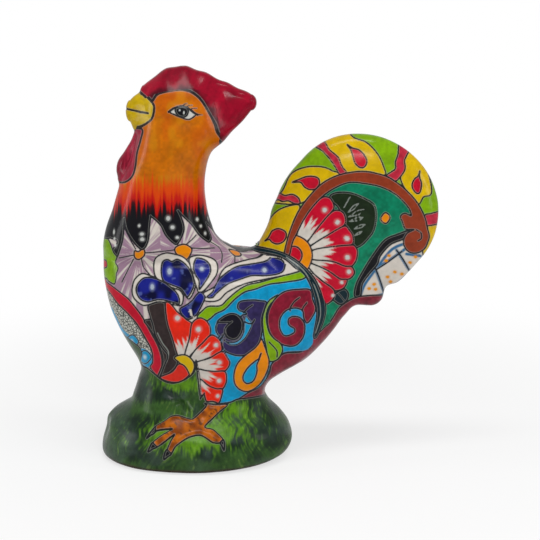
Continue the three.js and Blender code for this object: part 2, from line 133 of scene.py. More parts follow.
# %% A lofted form
class Form:
    """A loft. Each section is (rise, forward, aft, half, full, taper): its height above the last one, its
    reach either way from the axis, half its width, 2 for an ellipse or more for a boxier one, and the
    share of its width that it loses from its forward to its aft end. All sizes are mm."""

    def __init__(self, sections, root=(0.0, 0.0), turn=0.0, start=0.0, end=0.0):
        table = np.array(sections, float).T
        self.stops = np.cumsum(table[0])
        self.table = table[1:]
        self.length = self.stops[-1]
        self.root = np.array([root[0], 0.0, root[1]])
        c, s = math.cos(math.radians(turn)), math.sin(math.radians(turn))
        self.turned = np.array([[c, 0.0, s], [0.0, 1.0, 0.0], [-s, 0.0, c]])
        self.start, self.end = start, end

    def section(self, height):
        return [follow(self.stops, values, height) for values in self.table]

    def rings(self, step):
        """Height, lift and scale of each ring, a step apart along the skin, and closed by domes. A dome's
        last ring has shrunk to one point, and its scale is 0."""
        fine = np.linspace(0, self.length, 3000)
        steepest = np.abs(np.gradient(np.array(self.section(fine)[:3]), fine, axis=1)).max(0)
        arc = np.concatenate([[0], np.cumsum(np.hypot(1, steepest)[1:] * np.diff(fine))])
        height = np.interp(np.linspace(0, arc[-1], round(arc[-1] / step) + 1), arc, fine)
        lift, scale = np.zeros_like(height), np.ones_like(height)
        for dome, sign, last in ((self.end, 1, self.length), (self.start, -1, 0.0)):
            if not dome:
                continue
            half = self.section(np.array([last]))[2][0]
            angle = np.linspace(0, math.pi / 2, round(math.pi / 4 * (dome + half) / step) + 1)[1:]
            cap = (np.full_like(angle, last), sign * dome * np.sin(angle), np.cos(angle))
            wall_rings = (height, lift, scale)
            parts = (wall_rings, cap) if sign > 0 else ([part[::-1] for part in cap], wall_rings)
            height, lift, scale = (np.concatenate(pair) for pair in zip(*parts))
        return height, lift, np.where(scale < 1e-6, 0, scale)

    def skin(self, rings, around, shrink=0.0):
        """Points of the rings, an array of rings x around x 3: x and y follow a superellipse."""
        height, lift, scale = (part[:, None] for part in rings)
        forward, aft, half, full, taper = self.section(height)
        angle = np.linspace(0, 2 * math.pi, around, endpoint=False)[None, :]
        c, s = np.cos(angle), np.sin(angle)
        reach = (forward + aft) / 2 - shrink
        across = np.sign(c) * np.abs(c) ** (2 / full)
        x = (aft - forward) / 2 + reach * scale * across
        y = (half - shrink) * scale * (1 - taper * (across + 1) / 2) * np.sign(s) * np.abs(s) ** (2 / full)
        points = np.stack([x, y, np.broadcast_to(height + lift, x.shape)], -1)
        return points @ self.turned.T + self.root

    def stretch(self, points):
        """How far out points lie, as a share of the section: 1 on the skin."""
        x, y, z = ((points - self.root) @ self.turned).T
        forward, aft, half, full, taper = self.section(np.clip(z, 0, self.length))
        across = (x - (aft - forward) / 2) / ((forward + aft) / 2)
        narrow = 1 - taper * (np.clip(across, -1, 1) + 1) / 2
        level = (np.abs(across) ** full + np.abs(y / (half * narrow)) ** full) ** (1 / full)
        over = np.maximum(z - self.length, 0) / max(self.end, 1.0)
        under = np.maximum(-z, 0) / max(self.start, 1.0)
        return np.sqrt(level**2 + over**2 + under**2)

    def depth(self, points):
        """Distance from the skin, above 0 outside it, and the way outwards. Each point walks down the slope
        of the stretch until it stands on the skin, and the way it has come is the distance."""
        walks, nudge, gentlest = 4, 0.5, 0.008
        foot = points.copy()
        outside = self.stretch(points) > 1
        for _ in range(walks):
            level = self.stretch(foot)
            slope = np.stack([(self.stretch(foot + nudge * axis) - level) / nudge for axis in np.eye(3)], -1)
            steep = np.maximum(np.linalg.norm(slope, axis=1), gentlest)
            foot -= slope * ((level - 1) / steep**2)[:, None]
        return np.linalg.norm(points - foot, axis=1) * np.where(outside, 1, -1), slope / steep[:, None]


# %% [markdown]
# The numbers were measured on the photograph and carried over to mm. One upright form runs from the foot
# to the crown, as the clay does. The tail, the comb, the beak and the wattle each have an axis of their
# own. The rows of a table read from the bottom of its form to the top.

# %% The bird's forms
upright = Form([
    (0, 77, 69, 57.5, 2.05, 0), (5, 79.5, 77, 61, 2.05, 0), (19, 78, 78, 60.5, 2.1, 0),
    (10, 73.5, 72.5, 56, 2.1, 0), (11, 56, 62.5, 48.5, 2.15, 0), (9, 52, 58.5, 45.5, 2.2, 0),
    (12, 48, 64, 44.5, 2.25, 0.02), (9, 45.5, 76.5, 46.5, 2.3, 0.06), (9, 48, 92, 49, 2.3, 0.12),
    (14, 56, 105, 52, 2.3, 0.17), (14, 63.5, 112.5, 53.5, 2.3, 0.2), (16, 70, 117.5, 53.5, 2.3, 0.2),
    (16, 73.5, 115, 51.5, 2.3, 0.2), (14, 75, 108, 48.5, 2.25, 0.22), (9, 75, 99, 45.5, 2.2, 0.33),
    (5, 75, 86, 43.5, 2.15, 0.45), (3, 75, 46, 42.5, 2.1, 0.35), (5, 75, 28, 41.5, 2.1, 0.22),
    (7, 74, 19, 39.5, 2.1, 0.12), (10, 71.5, 14.5, 37.5, 2.1, 0.07), (12, 67, 11, 35.5, 2.1, 0.05),
    (17, 62, 9, 34, 2.1, 0.03), (15, 57.5, 10, 33, 2.1, 0.02), (12, 51.5, 13, 32.5, 2.15, 0),
    (12, 47.5, 19, 32, 2.2, 0), (12, 44.5, 22.5, 30.5, 2.25, 0), (11, 42, 21, 28, 2.25, 0),
], end=26.0)
brow = upright.length  # height of the brow above the floor
flank = upright.stops[11]  # where the belly is longest
waist = upright.stops[6]  # where the trunk meets the mound

tail_lean = 39.5
tail_buried = 34.0
tail_axis = np.array([math.sin(math.radians(tail_lean)), math.cos(math.radians(tail_lean))])
tail = Form([
    (0, 44, 40, 20, 2.2, 0), (34, 48.5, 45, 22.5, 2.3, 0), (18, 49.5, 45, 24, 2.4, 0),
    (13, 52, 47, 24.5, 2.5, 0), (9, 55, 58, 24, 2.5, 0), (7, 58.5, 60, 23.5, 2.5, 0),
    (12, 62, 56, 22.5, 2.5, 0), (8, 64.5, 60.5, 21.5, 2.5, 0), (14, 66.5, 62, 20.5, 2.5, 0),
    (15, 66, 62.5, 20, 2.5, 0),
], root=np.array([79.0, flank + 7.0]) - tail_buried * tail_axis, turn=tail_lean, end=60.0)

comb_front, comb_blunt, comb_point, comb_lift = -39.5, 3.0, 4.5, 12.0
comb = Form([
    (0, 11, 3, 6, 2.6, -0.4), (9, 19, 8, 8.5, 2.8, -1.3), (11, 25.5, 12, 9.5, 3, -1.8),
    (12, 27, 15, 9.5, 3, -1.8), (13, 23.5, 22, 9.5, 3, -1.2), (12, 18.5, 33.5, 9.5, 2.8, -0.6),
    (5, 16, 33.5, 9.5, 2.8, -0.5), (9, 12, 26, 9.5, 2.7, -0.2), (9, 8, 17.5, 8.5, 2.6, 0),
    (7, 4, 9, 7, 2.4, 0),
], root=(comb_front, brow + comb_lift), turn=90.0, start=comb_blunt, end=comb_point)

beak_root, beak_tip, beak_height = -28.0, 3.5, brow + 3.0
beak = Form([
    (0, 15, 16, 12.5, 2.1, 0), (6, 16, 16.5, 12.5, 2.1, 0), (4, 16, 16, 12, 2.1, 0),
    (5, 16, 14.5, 10.5, 2.1, 0), (5, 14, 11.5, 9, 2.1, 0), (3, 9, 8.5, 7.5, 2.1, 0),
], root=(beak_root, beak_height), turn=-90.0, end=beak_tip)

wattle = Form([
    (0, 8, 5, 8, 2, 0), (6, 9, 6, 10, 2, 0), (8, 7.5, 7, 9.5, 2, 0),
    (8, 2, 9, 7, 2, 0), (9, -3.5, 10.5, 5, 2, 0), (6, -6, 11.5, 4, 2, 0),
], root=(beak_root - beak.length - beak_tip + 0.5, beak_height - 55.0), start=5.5, end=3.0)

# The upright axis stands behind the comb's front end, which the CAD box of the comb gives.
axis_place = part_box("comb")[0][0] / MM + comb_blunt - comb_front
print("upright axis at x", round(axis_place, 2), "mm")

# %% [markdown]
# A skin is one grid of points. The grid is about 0.7 mm fine, close to one pixel of the photograph, so
# that a colour and a line distance kept on each point can carry the whole decoration without a picture
# file. The mound, the belly, the neck and the head share one grid, as they share one skin of clay.

# %% Grids of points
class Skin:
    """A grid over a form: points in mm along the bird, outward normals, and the faces between them."""

    def __init__(self, form, rings, grid):
        self.form, self.rings = form, rings
        self.count, self.around = grid.shape[:2]
        self.points = grid.reshape(-1, 3)
        self.base = self.points.copy()
        self.lean = np.zeros_like(self.points)
        self.faces = self.joined()
        self.normals = self.outward()

    def joined(self):
        """Two triangles between each four neighbours. A ring of scale 0 is welded to one point."""
        index = np.arange(self.count * self.around).reshape(self.count, self.around)
        closed = self.rings[2] == 0
        index[closed] = index[closed][:, :1]
        a, b = index[:-1], np.roll(index[:-1], -1, 1)
        c, d = index[1:], np.roll(index[1:], -1, 1)
        faces = np.concatenate([np.stack(corners, -1).reshape(-1, 3) for corners in ((a, b, d), (a, d, c))])
        kept = (faces[:, 0] != faces[:, 1]) & (faces[:, 1] != faces[:, 2]) & (faces[:, 2] != faces[:, 0])
        return faces[kept]

    def outward(self):
        """Each point's normal: the sum of its faces' normals, which are as long as the faces are large."""
        p, q, r = (self.points[self.faces[:, k]] for k in range(3))
        cross = np.cross(q - p, r - p)
        total = np.zeros_like(self.points)
        for k in range(3):
            for axis in range(3):
                total[:, axis] += np.bincount(self.faces[:, k], cross[:, axis], len(total))
        return total / np.maximum(np.linalg.norm(total, axis=1), 1e-9)[:, None]

    def push(self, distance):
        """Moves each point along its own normal, and works the normals out again."""
        self.points += self.normals * distance[:, None]
        self.normals = self.outward()


def skinned(form, step, around, rolled=0.0):
    """A skin with rings a step apart. Its lowest edge can be rolled in to a small radius."""
    rings = form.rings(step)
    below = np.maximum(rolled - rings[0][:, None], 0)
    shrink = rolled - np.sqrt(np.maximum(rolled**2 - below**2, 0))
    return Skin(form, rings, form.skin(rings, around, shrink))


foot_roll = 2.5  # mm
skins = {
    "upright": skinned(upright, 0.75, 680, rolled=foot_roll),
    "tail": skinned(tail, 0.72, 500),
    "comb": skinned(comb, 0.5, 260),
    "beak": skinned(beak, 0.5, 160),
    "wattle": skinned(wattle, 0.5, 140),
}
for name, skin in skins.items():
    print(name, skin.count, "rings of", skin.around, "points,", len(skin.faces), "triangles")

# %% [markdown]
# Where two parts are luted together, the potter wipes the slip into a small fillet. Two skins that cross
# would meet in a sharp crease, so each skin swells where it nears the other. Both swell onto the same
# curve: a point on it lies a from one skin and b from the other, and root a plus root b is root w, where
# w is the width of the fillet. So they meet in one surface, and their shared normals hide the seam.

# %% Fillets where parts are luted
sunk = 2.0  # mm, how far a point goes back under the other skin at most
coarse_step, coarse_around = 6.0, 24  # a rough skin, that tells which points are near


def swelling(skin, other, width):
    """How far each point moves along its normal to meet another form in a fillet, and its normal there.
    On the fillet a point lies a from its own skin and b from the other, where root a and root b add up
    to root w, so its normal is root b parts of its own direction and root a parts of the other's. With
    b = gap + turned * a this is a quadratic for root a. Past a = b = w/4 the other skin takes over, and
    the point goes back under it."""
    swell, lean = np.zeros(len(skin.points)), skin.normals.copy()
    rough = other.skin(other.rings(coarse_step), coarse_around).reshape(-1, 3)
    near = np.all((skin.base > rough.min(0) - width) & (skin.base < rough.max(0) + width), axis=1)
    place, away = skin.base[near], skin.normals[near]
    gap, toward = other.depth(place)
    turned = np.einsum("ij,ij->i", away, toward)
    for _ in range(2):
        under = np.maximum(width - (1 - turned) * (width - gap), 0)
        move = np.maximum((width - gap) / (math.sqrt(width) + np.sqrt(under)), 0) ** 2
        move = np.where(move < width / 4, move, np.maximum(width * 3 / 4 - 2 * move, -sunk))
        there, toward = other.depth(place + away * move[:, None])
        turned = np.where(np.abs(move) > 0.3, (there - gap) / np.where(move == 0, 1, move), turned)
    own, far = (np.sqrt(np.clip(part, 1e-6, width / 4))[:, None] for part in (move, there))
    blend = away * far + toward * own
    swell[near] = move
    lean[near] = blend / np.maximum(np.linalg.norm(blend, axis=1), 1e-6)[:, None]
    return swell, lean


joins = [  # and the width of each fillet in mm
    ("upright", "tail", 9.0), ("upright", "comb", 12.0), ("upright", "beak", 9.0),
    ("upright", "wattle", 4.0), ("comb", "beak", 3.0), ("beak", "wattle", 3.0),
]
least_swell = 0.05  # mm
swells = {name: np.zeros(len(skin.points)) for name, skin in skins.items()}
leans = {name: skin.normals.copy() for name, skin in skins.items()}
for one, two, width in joins:
    for mine, other in ((one, two), (two, one)):
        swell, lean = swelling(skins[mine], skins[other].form, width)
        more = np.abs(swell) > np.abs(swells[mine])
        swells[mine] = np.where(more, swell, swells[mine])
        leans[mine] = np.where(more[:, None], lean, leans[mine])
for name, skin in skins.items():
    skin.push(swells[name])
    joined = np.abs(swells[name]) > least_swell
    skin.lean = (leans[name] - skin.normals) * joined[:, None]
    print(name, "swells by up to", round(float(swells[name].max()), 2), "mm")

# %% [markdown]
# What lies deep inside the trunk is never seen, and it must not reach into the hollow of the body, so the
# buried ends of the tail, the comb, the beak and the wattle are cut off inside the trunk's own wall.

# %% Cut the buried ends off
buried = -4.5  # mm inside the trunk's skin
for name in ("tail", "comb", "beak", "wattle"):
    skin = skins[name]
    deep = upright.depth(skin.points)[0] < buried
    kept = ~deep[skin.faces].any(1)
    print(name, "loses", int((~kept).sum()), "buried triangles")
    skin.faces = skin.faces[kept]

# %% [markdown]
# Hand work leaves its traces: the mound was pinched and pressed with a thumb, the comb's edge was squeezed
# into waves, and no wall is quite even. The mound's lumps and thumb hollows are those of the solid model.
# The comb's waves are flatter here, because the photographed comb is nearly smooth on its side. A soft
# unevenness of up to a third of a millimetre lies over all. First comes the grain: smooth noise that the
# clay and all the brushwork below are made with.

# %% Grain from a seeded lattice
def grain(x, y, seed):
    """Smooth noise from 0 to 1 with a cell of 1: random corner values, blended with an S-shaped step."""
    rows, columns = 97, 89  # after so many cells it repeats
    lattice = np.random.default_rng(seed).random((rows, columns))
    i, j = np.floor(x).astype(int), np.floor(y).astype(int)
    u, v = x - i, y - j
    u, v = u * u * (3 - 2 * u), v * v * (3 - 2 * v)
    left, right, low, high = i % rows, (i + 1) % rows, j % columns, (j + 1) % columns
    near = lattice[left, low] * (1 - u) + lattice[right, low] * u
    far = lattice[left, high] * (1 - u) + lattice[right, high] * u
    return near * (1 - v) + far * v


def uneven(points, cell, seed):
    """Grain in space, from -1 to 1: the mean of the grain on three planes."""
    x, y, z = points.T / cell
    return (grain(x, y, seed) + grain(y + 9.3, z, seed + 1) + grain(z, x + 5.7, seed + 2)) * 2 / 3 - 1


def smoothstep(low, high, value):
    t = np.clip((value - low) / (high - low), 0, 1)
    return t * t * (3 - 2 * t)


# %% [markdown]
# Lumps fade out at the floor and under the waist. A thumb hollow is a soft round dent at a place given aft
# of the axis, to the side and above the floor. On the comb, the waves are strongest at the free edge.

# %% Lumps of the mound, thumb hollows and waves of the comb
lump_depth, lumps_round, lump_top = 1.6, 5, upright.stops[5]
thumb_hollows = [  # aft, side, height, depth and spread in mm
    (-14, 46, 57, 3.4, 12), (-79, 10, 27, 3.0, 11), (52, 36, 41, 2.6, 13),
]

body = skins["upright"]
x, y, z = body.base.T
share = np.clip(z / lump_top, 0, 1)
turn = np.arctan2(y, x)
lumps = np.cos(lumps_round * turn) * np.cos(4 * share)
lumps += np.cos((lumps_round - 2) * turn) * np.sin(4 * share)
move = lump_depth * lumps * np.sin(math.pi * share) ** 2
for aft, side, height, deep, spread in thumb_hollows:
    away = np.linalg.norm(np.stack([x, np.abs(y), z], 1) - (aft, side, height), axis=1)
    move -= deep * np.exp(-((away / spread) ** 2))
body.points[:, :2] += move[:, None] * body.base[:, :2] / np.linalg.norm(body.base[:, :2], axis=1)[:, None]
body.normals = body.outward()

ripple, flute, ripple_length = 0.45, 0.2, 17.0  # mm: height of the waves, depth at the sides, spacing
crest = skins["comb"]
along = crest.base[:, 0] - comb_front
comb_rise = (crest.base[:, 2] - (brow + comb_lift)) / comb.section(np.clip(along, 0, comb.length))[0]
edge = smoothstep(0.35, 0.9, comb_rise)
wave = np.cos(2 * math.pi * along / ripple_length) * edge
crest.points[:, 2] += ripple * wave
crest.points[:, 1] += flute * wave * np.clip(crest.base[:, 1] / flute, -1, 1)
crest.normals = crest.outward()

# One field for all skins, so that they still meet where they are luted
hand, broad_cell, small_cell = 0.4, 27.0, 9.0  # mm
for name, skin in skins.items():
    amount = hand * (uneven(skin.points, broad_cell, 10) + 0.4 * uneven(skin.points, small_cell, 40))
    skin.push(amount)
    print(name, "uneven by up to", round(float(np.abs(amount).max()), 2), "mm")

# %% [markdown]
# The decoration is laid out in the picture's pixels. Straight projection would smear it where the skin
# turns away from the camera, so across the trunk the picture is unrolled: past seven tenths of its reach,
# a point's place follows the angle round the trunk, and the pattern keeps its width over breast and rump.

# %% Where the decoration lies on each skin
unroll_from = 0.72  # share of the reach at which unrolling starts
unroll_heights = (205.0, 240.0)  # mm: fully unrolled below, not at all above, up the neck
upright_shift = np.array([axis_place, 0.0, 0.0])

for skin in skins.values():
    skin.in_picture = seen(skin.base + upright_shift)
    skin.pattern = skin.in_picture.copy()

forward, aft = (part[:, None] for part in upright.section(body.rings[0])[:2])
scale = np.maximum(body.rings[2][:, None], 0.02)
reach = (forward + aft) / 2 * scale
centre = (aft - forward) / 2
across = np.clip((body.base[:, 0].reshape(body.count, -1) - centre) / reach, -1, 1)
first, angle = math.acos(unroll_from), np.arccos(np.abs(across))
rolled_out = np.sign(across) * (unroll_from + (first - angle) * math.sqrt(1 - unroll_from**2))
fade = 1 - smoothstep(*unroll_heights, body.rings[0])[:, None]
across = np.where(np.abs(across) > unroll_from, across + (rolled_out - across) * fade, across)
flat = body.base.copy()
flat[:, 0] = (centre + across * reach).ravel()
body.pattern = seen(flat + upright_shift)
body.pattern[:, 1] = body.in_picture[:, 1]
facing = np.einsum("ij,ij->i", body.normals, camera_place - body.points - upright_shift) > 0
visible = facing & (body.base[:, 1] < 0)
print("unrolled by up to", round(float(np.abs(body.pattern - body.in_picture).max()), 1), "pixels")

# %% [markdown]
# The outlines below are given as places on the picture, so the same unrolling has to be done to them. A
# map notes how far each visible point was moved across, and its gaps are filled from their neighbours.

# %% A map from the picture to the unrolled pattern
cells = 2  # map cells per pixel


def spread_out(field, known, times):
    """Fills unknown cells with the mean of their known neighbours, one ring of cells at a time."""
    for _ in range(times):
        sides = [(axis, step) for axis in (0, 1) for step in (1, -1)]
        count = sum(np.roll(known, step, axis).astype(float) for axis, step in sides)
        shares = (np.roll(known, step, axis) * np.roll(field, step, axis) for axis, step in sides)
        total = sum(shares)
        new = ~known & (count > 0)
        field[new] = total[new] / count[new]
        known = known | new
    return field


size = picture * cells
cell = np.clip(np.round(body.in_picture[visible] * cells).astype(int), 0, size - 1) @ (1, size)
shift = (body.pattern - body.in_picture)[visible, 0]
count = np.bincount(cell, minlength=size * size)
unroll_map = np.bincount(cell, shift, size * size) / np.maximum(count, 1)
reach_out = 60  # cells
unroll_map = spread_out(unroll_map.reshape(size, size), (count > 0).reshape(size, size), reach_out)


def unrolled(path):
    """Points of the picture, moved across to where the unrolled pattern has them."""
    x, y = np.clip(path.T * cells, 0, size - 2)
    i, j = x.astype(int), y.astype(int)
    u, v = x - i, y - j
    left = unroll_map[j, i] * (1 - v) + unroll_map[j + 1, i] * v
    right = unroll_map[j, i + 1] * (1 - v) + unroll_map[j + 1, i + 1] * v
    return path + np.stack([left * (1 - u) + right * u, np.zeros(len(path))], 1)

# %% [markdown]
# On the real bird a painter draws each outline in black, then floods the cell inside it with glaze. The
# painter here does the same on the points of a skin. Each point keeps a colour and its distance, in
# pixels, from the nearest drawn line. The material turns that distance into a crisp line later, which
# stays sharp between the points. An image texture would carry the same, but it would be a picture file.

# %% Colours, curves and distances
def tone(red, green, blue):
    """A colour as a screen shows it, 0 to 255, in the linear light that a material takes."""
    part = np.array([red, green, blue]) / 255
    return np.where(part <= 0.04045, part / 12.92, ((part + 0.055) / 1.055) ** 2.4)


def curve(points, closed=True, fine=5):
    """A smooth path: between two points a cubic, whose slope at each is half the step between its
    neighbours. A point that is given twice makes a corner."""
    p = np.array(points, float)
    if closed:
        a, b, c, d = (np.roll(p, shift, 0) for shift in (1, 0, -1, -2))
    else:
        whole = np.concatenate([p[:1], p, p[-1:]])
        a, b, c, d = whole[:-3], whole[1:-2], whole[2:-1], whole[3:]
    t = (np.arange(fine) / fine)[None, :, None]
    a, b, c, d = (part[:, None] for part in (a, b, c, d))
    path = b + (c - a) / 2 * t + (a - 2.5 * b + 2 * c - d / 2) * t**2 + (1.5 * (b - c) + (d - a) / 2) * t**3
    path = path.reshape(-1, 2)
    return path if closed else np.concatenate([path, p[-1:]])


def measure(x, y, path, closed):
    """Distance of each place from the path, and whether a closed path holds it: a ray to the left
    crosses the path an odd number of times."""
    ends = np.roll(path, -1, 0) if closed else path[1:]
    nearest, inside = np.full(len(x), 1e9), np.zeros(len(x), bool)
    for (ax, ay), (bx, by) in zip(path, ends):
        ex, ey = bx - ax, by - ay
        t = np.clip(((x - ax) * ex + (y - ay) * ey) / max(ex * ex + ey * ey, 1e-9), 0, 1)
        nearest = np.minimum(nearest, (x - ax - t * ex) ** 2 + (y - ay - t * ey) ** 2)
        if ay != by:
            inside ^= ((ay > y) != (by > y)) & (x < ax + (y - ay) * ex / ey)
    return np.sqrt(nearest), inside


# %% [markdown]
# The painter's three tools are the slip trailer that floods an outline, the liner for open strokes, and
# a blunt brush end for dabs. Flooding an outline hides what was drawn there before, as opaque glaze does.

# %% The painter
clear = 9.0  # pixels, the distance noted where no line is near


def smooth_mix(colour, other, share):
    """Colours moved part of the way to another, each by its own share."""
    return colour + (other - colour) * share[:, None]


class Painter:
    """Paints a skin's points: colour, distance to the nearest black line and to the nearest pale one, and
    where a fine net goes."""

    def __init__(self, skin, unroll=False):
        self.skin, self.unroll = skin, unroll
        self.x, self.y = skin.pattern.T
        self.colour = np.ones((len(self.x), 3)) * 0.5
        self.line = np.full(len(self.x), clear)
        self.pale = np.full(len(self.x), clear)
        self.net = np.zeros(len(self.x))

    def laid(self, points, closed=True, fine=5):
        path = curve(points, closed, fine)
        return unrolled(path) if self.unroll else path

    def around(self, path, margin):
        low, high = path.min(0) - margin, path.max(0) + margin
        return np.flatnonzero((self.x > low[0]) & (self.x < high[0]) & (self.y > low[1]) & (self.y < high[1]))

    def fill(self, points, paint, drawn=True, heavy=0.0, soft=0.0, fine=5, net=False):
        """Floods a closed outline. What it covers loses the lines that were drawn before."""
        path = self.laid(points, True, fine)
        at = self.around(path, 3.0)
        if not len(at):
            return
        x, y = self.x[at], self.y[at]
        away, inside = measure(x, y, path, True)
        amount = smoothstep(-soft, soft, np.where(inside, away, -away)) if soft else inside * 1.0
        fresh = paint(x, y) if callable(paint) else paint
        self.colour[at] = smooth_mix(self.colour[at], fresh, amount)
        edge = away - heavy if drawn else np.full(len(at), clear)
        self.line[at] = np.where(inside, edge, np.minimum(self.line[at], edge))
        self.pale[at] = np.where(inside, clear, self.pale[at])
        self.net[at] = np.where(inside, float(net), self.net[at])

    def stroke(self, points, heavy=0.0, paint=None, width=0.8, pale=False):
        """Draws a line: in black, as a thin pale one, or as a stroke of paint."""
        path = self.laid(points, False)
        at = self.around(path, 3.0 + width)
        if not len(at):
            return
        away = measure(self.x[at], self.y[at], path, False)[0]
        if pale:
            self.pale[at] = np.minimum(self.pale[at], away - heavy)
        elif paint is None:
            self.line[at] = np.minimum(self.line[at], away - heavy)
        else:
            amount = 1 - smoothstep(width * 0.6, width * 1.3, away)
            self.colour[at] = smooth_mix(self.colour[at], paint, amount)

    def dab(self, x, y, wide, high=None, paint=None, veil=0.35):
        """A thick dab of paint with a thin veil round it."""
        high = high or wide
        place = self.place(x, y)
        at = self.around(place[None], 2.4 * max(wide, high))
        ring = np.hypot((self.x[at] - place[0]) / wide, (self.y[at] - place[1]) / high)
        amount = np.maximum(1 - smoothstep(0.8, 1.15, ring), veil * (1 - smoothstep(1.0, 2.1, ring)))
        self.colour[at] = smooth_mix(self.colour[at], chalk if paint is None else paint, amount)
        self.line[at] = np.where(ring < 1.05, clear, self.line[at])

    def place(self, x, y):
        return unrolled(np.array([[x, y]]))[0] if self.unroll else np.array([x, y])

    def layers(self):
        return self.colour, self.line, self.pale, self.net

    def copied(self):
        return [part.copy() for part in self.layers()]

    def take(self, kept, where):
        """Puts back what an earlier copy had at some of the points."""
        for part, old in zip(self.layers(), kept):
            part[where] = old[where]


# %% [markdown]
# A majolica palette is small: a handful of bright glazes over a cream ground. None of them lies flat. A
# glaze pools, streaks under the brush, or breaks from one colour to the next in rays.

# %% Glazes of the palette
chalk = tone(184, 186, 182)
cream = tone(198, 191, 182)
black_glaze = tone(17, 17, 22)
mauve = tone(134, 92, 126)
cobalt = tone(24, 32, 128)
deep_cobalt = tone(7, 9, 46)
pale_cobalt = tone(92, 108, 172)
navy = tone(44, 36, 76)
deep_navy = tone(13, 11, 24)
sky = tone(8, 142, 188)
lime = tone(118, 160, 8)
crimson = tone(184, 8, 40)
deep_crimson = tone(116, 20, 40)
orange = tone(216, 128, 4)
sun = tone(200, 166, 2)
brown = tone(134, 52, 28)
dark_brown = tone(48, 38, 38)
teal = tone(8, 116, 84)
deep_teal = tone(4, 84, 58)
slate = tone(16, 38, 46)
leaf = tone(24, 38, 20)
maroon = tone(118, 34, 48)


def brushed(dark, light, seed, angle=0.0, cell=(1.7, 9.0)):
    """Brush strokes: two tones, mixed by grain that is drawn out along the stroke."""
    c, s = math.cos(math.radians(angle)), math.sin(math.radians(angle))

    def paint(x, y):
        over, along = x * c + y * s, y * c - x * s
        fine = grain(over / cell[0], along / cell[1], seed)
        broad = grain(over / (4 * cell[0]), along / (1.6 * cell[1]), seed + 1)
        return smooth_mix(dark, light, 0.45 * fine + 0.55 * broad)

    return paint


def flare(centre, inner, outer, start, end, rays, spike_length, seed):
    """A petal's paint: one colour at the flower's middle, another outside, with spiky rays between."""

    def paint(x, y):
        away, turn = np.hypot(x - centre[0], y - centre[1]), np.arctan2(y - centre[1], x - centre[0]) * rays
        spike = grain(turn / 6.28, away * 0.03, seed) + 0.5 * grain(turn / 2.6, away * 0.03, seed + 1)
        return smooth_mix(inner, outer, smoothstep(start, end, away - (spike - 0.75) * spike_length))

    return paint


def lively(paint, seed, swing=0.16, cell=7.0):
    """A flooded colour that pools: lighter and darker in soft patches."""

    def spread(x, y):
        tint = 1 + swing * (grain(x / cell, y / cell, seed) + grain(x / 2.3, y / 2.3, seed + 1) - 1)
        return np.clip((paint(x, y) if callable(paint) else paint) * tint[:, None], 0, 1)

    return spread


trunk = Painter(body, unroll=True)
fan = Painter(skins["tail"])
print("painters ready for", len(trunk.x) + len(fan.x), "points")

# %% [markdown]
# The neck runs from orange through red to black, brushed downwards so that the streaks interlock. Below,
# the black ends in pointed hackle feathers with white dabs, and lilac flowers open between them.

# %% Head and neck
hackles = [
    (110, 238), (112, 250.7), (115.7, 258), (119.6, 249), (122.6, 237), (123.6, 220), (123.6, 220),
    (125.6, 229), (129.3, 236.4), (134.3, 243.6), (138.6, 248), (141.4, 249.6), (145, 247), (148, 239.3),
    (148.8, 229), (149.6, 220.7), (150.3, 216.4), (150.3, 216.4), (155.7, 220.7), (160.7, 226.4), (165, 235),
    (171.4, 242), (176.4, 244.3), (180.7, 238), (183.6, 229.3), (182, 220.7), (178, 211.4), (178, 211.4),
    (184.3, 218), (191.4, 225), (198.6, 235), (205.7, 240.7), (208.6, 242), (211, 238), (208.6, 230.7),
    (206, 223.5), (206, 223.5), (212, 230), (221, 240.7), (233, 248), (246, 251),
]
hackle_dabs = [
    (113.4, 232, 1.2, 3.0), (113.9, 238.6, 1.3, 1.5), (114.7, 245.3, 1.5, 1.7), (138.6, 225.7, 1.5, 1.7),
    (141.4, 234, 2.5, 1.9), (141.7, 239.4, 2.6, 2.1), (167.7, 218.3, 2.5, 2.7), (172, 227.3, 2.5, 2.4),
    (176.7, 237.6, 2.1, 1.7), (196.7, 219.3, 1.9, 1.9), (200.3, 226, 1.8, 1.6), (204.7, 233.3, 1.8, 2.0),
    (207.4, 218.6, 1.2, 2.6),
]
neck_bands = [  # the heights in the picture between which each colour takes over
    (172, 190, tone(206, 66, 8)), (190, 203, tone(184, 22, 14)), (204, 211, tone(74, 12, 18)),
    (208, 217, black_glaze),
]


def neck_paint(x, y):
    """Orange, red and black by height, each border drawn out by vertical streaks."""
    streak = grain(x / 1.6, y / 30, 71) + 0.6 * grain(x / 4.3, y / 40, 72) - 0.8
    level = y + 15 * streak
    warm = lively(tone(186, 100, 2), 73, 0.3, 9.0)(x, y)
    warm = smooth_mix(warm, tone(190, 74, 4), 0.45 * smoothstep(0.35, 0.75, grain(x / 11.0, y / 17.0, 75)))
    warm = smooth_mix(warm, tone(196, 128, 8), 0.5 * smoothstep(0.55, 0.85, grain(x / 9.0, y / 12.0, 76)))
    for start, end, colour in neck_bands:
        warm = smooth_mix(warm, colour, smoothstep(start, end, level))
    return warm


for p in (trunk, fan):
    p.colour[:] = lively(cream, 60, 0.1)(p.x, p.y)


def paint_neck(p):
    p.fill([(20, 20), (20, 238)] + hackles + [(300, 240), (300, 20)], neck_paint, heavy=0.1)
    for x, y, wide, high in hackle_dabs:
        p.dab(x, y, 0.85 * wide, 0.85 * high, veil=0.2)


# %% [markdown]
# The lilac flowers have an orange middle and petals brushed from the outside in, parted by thin lines.

# %% Lilac flowers
flower_hearts = [(139, 254), (182, 252), (234.5, 252.5)]


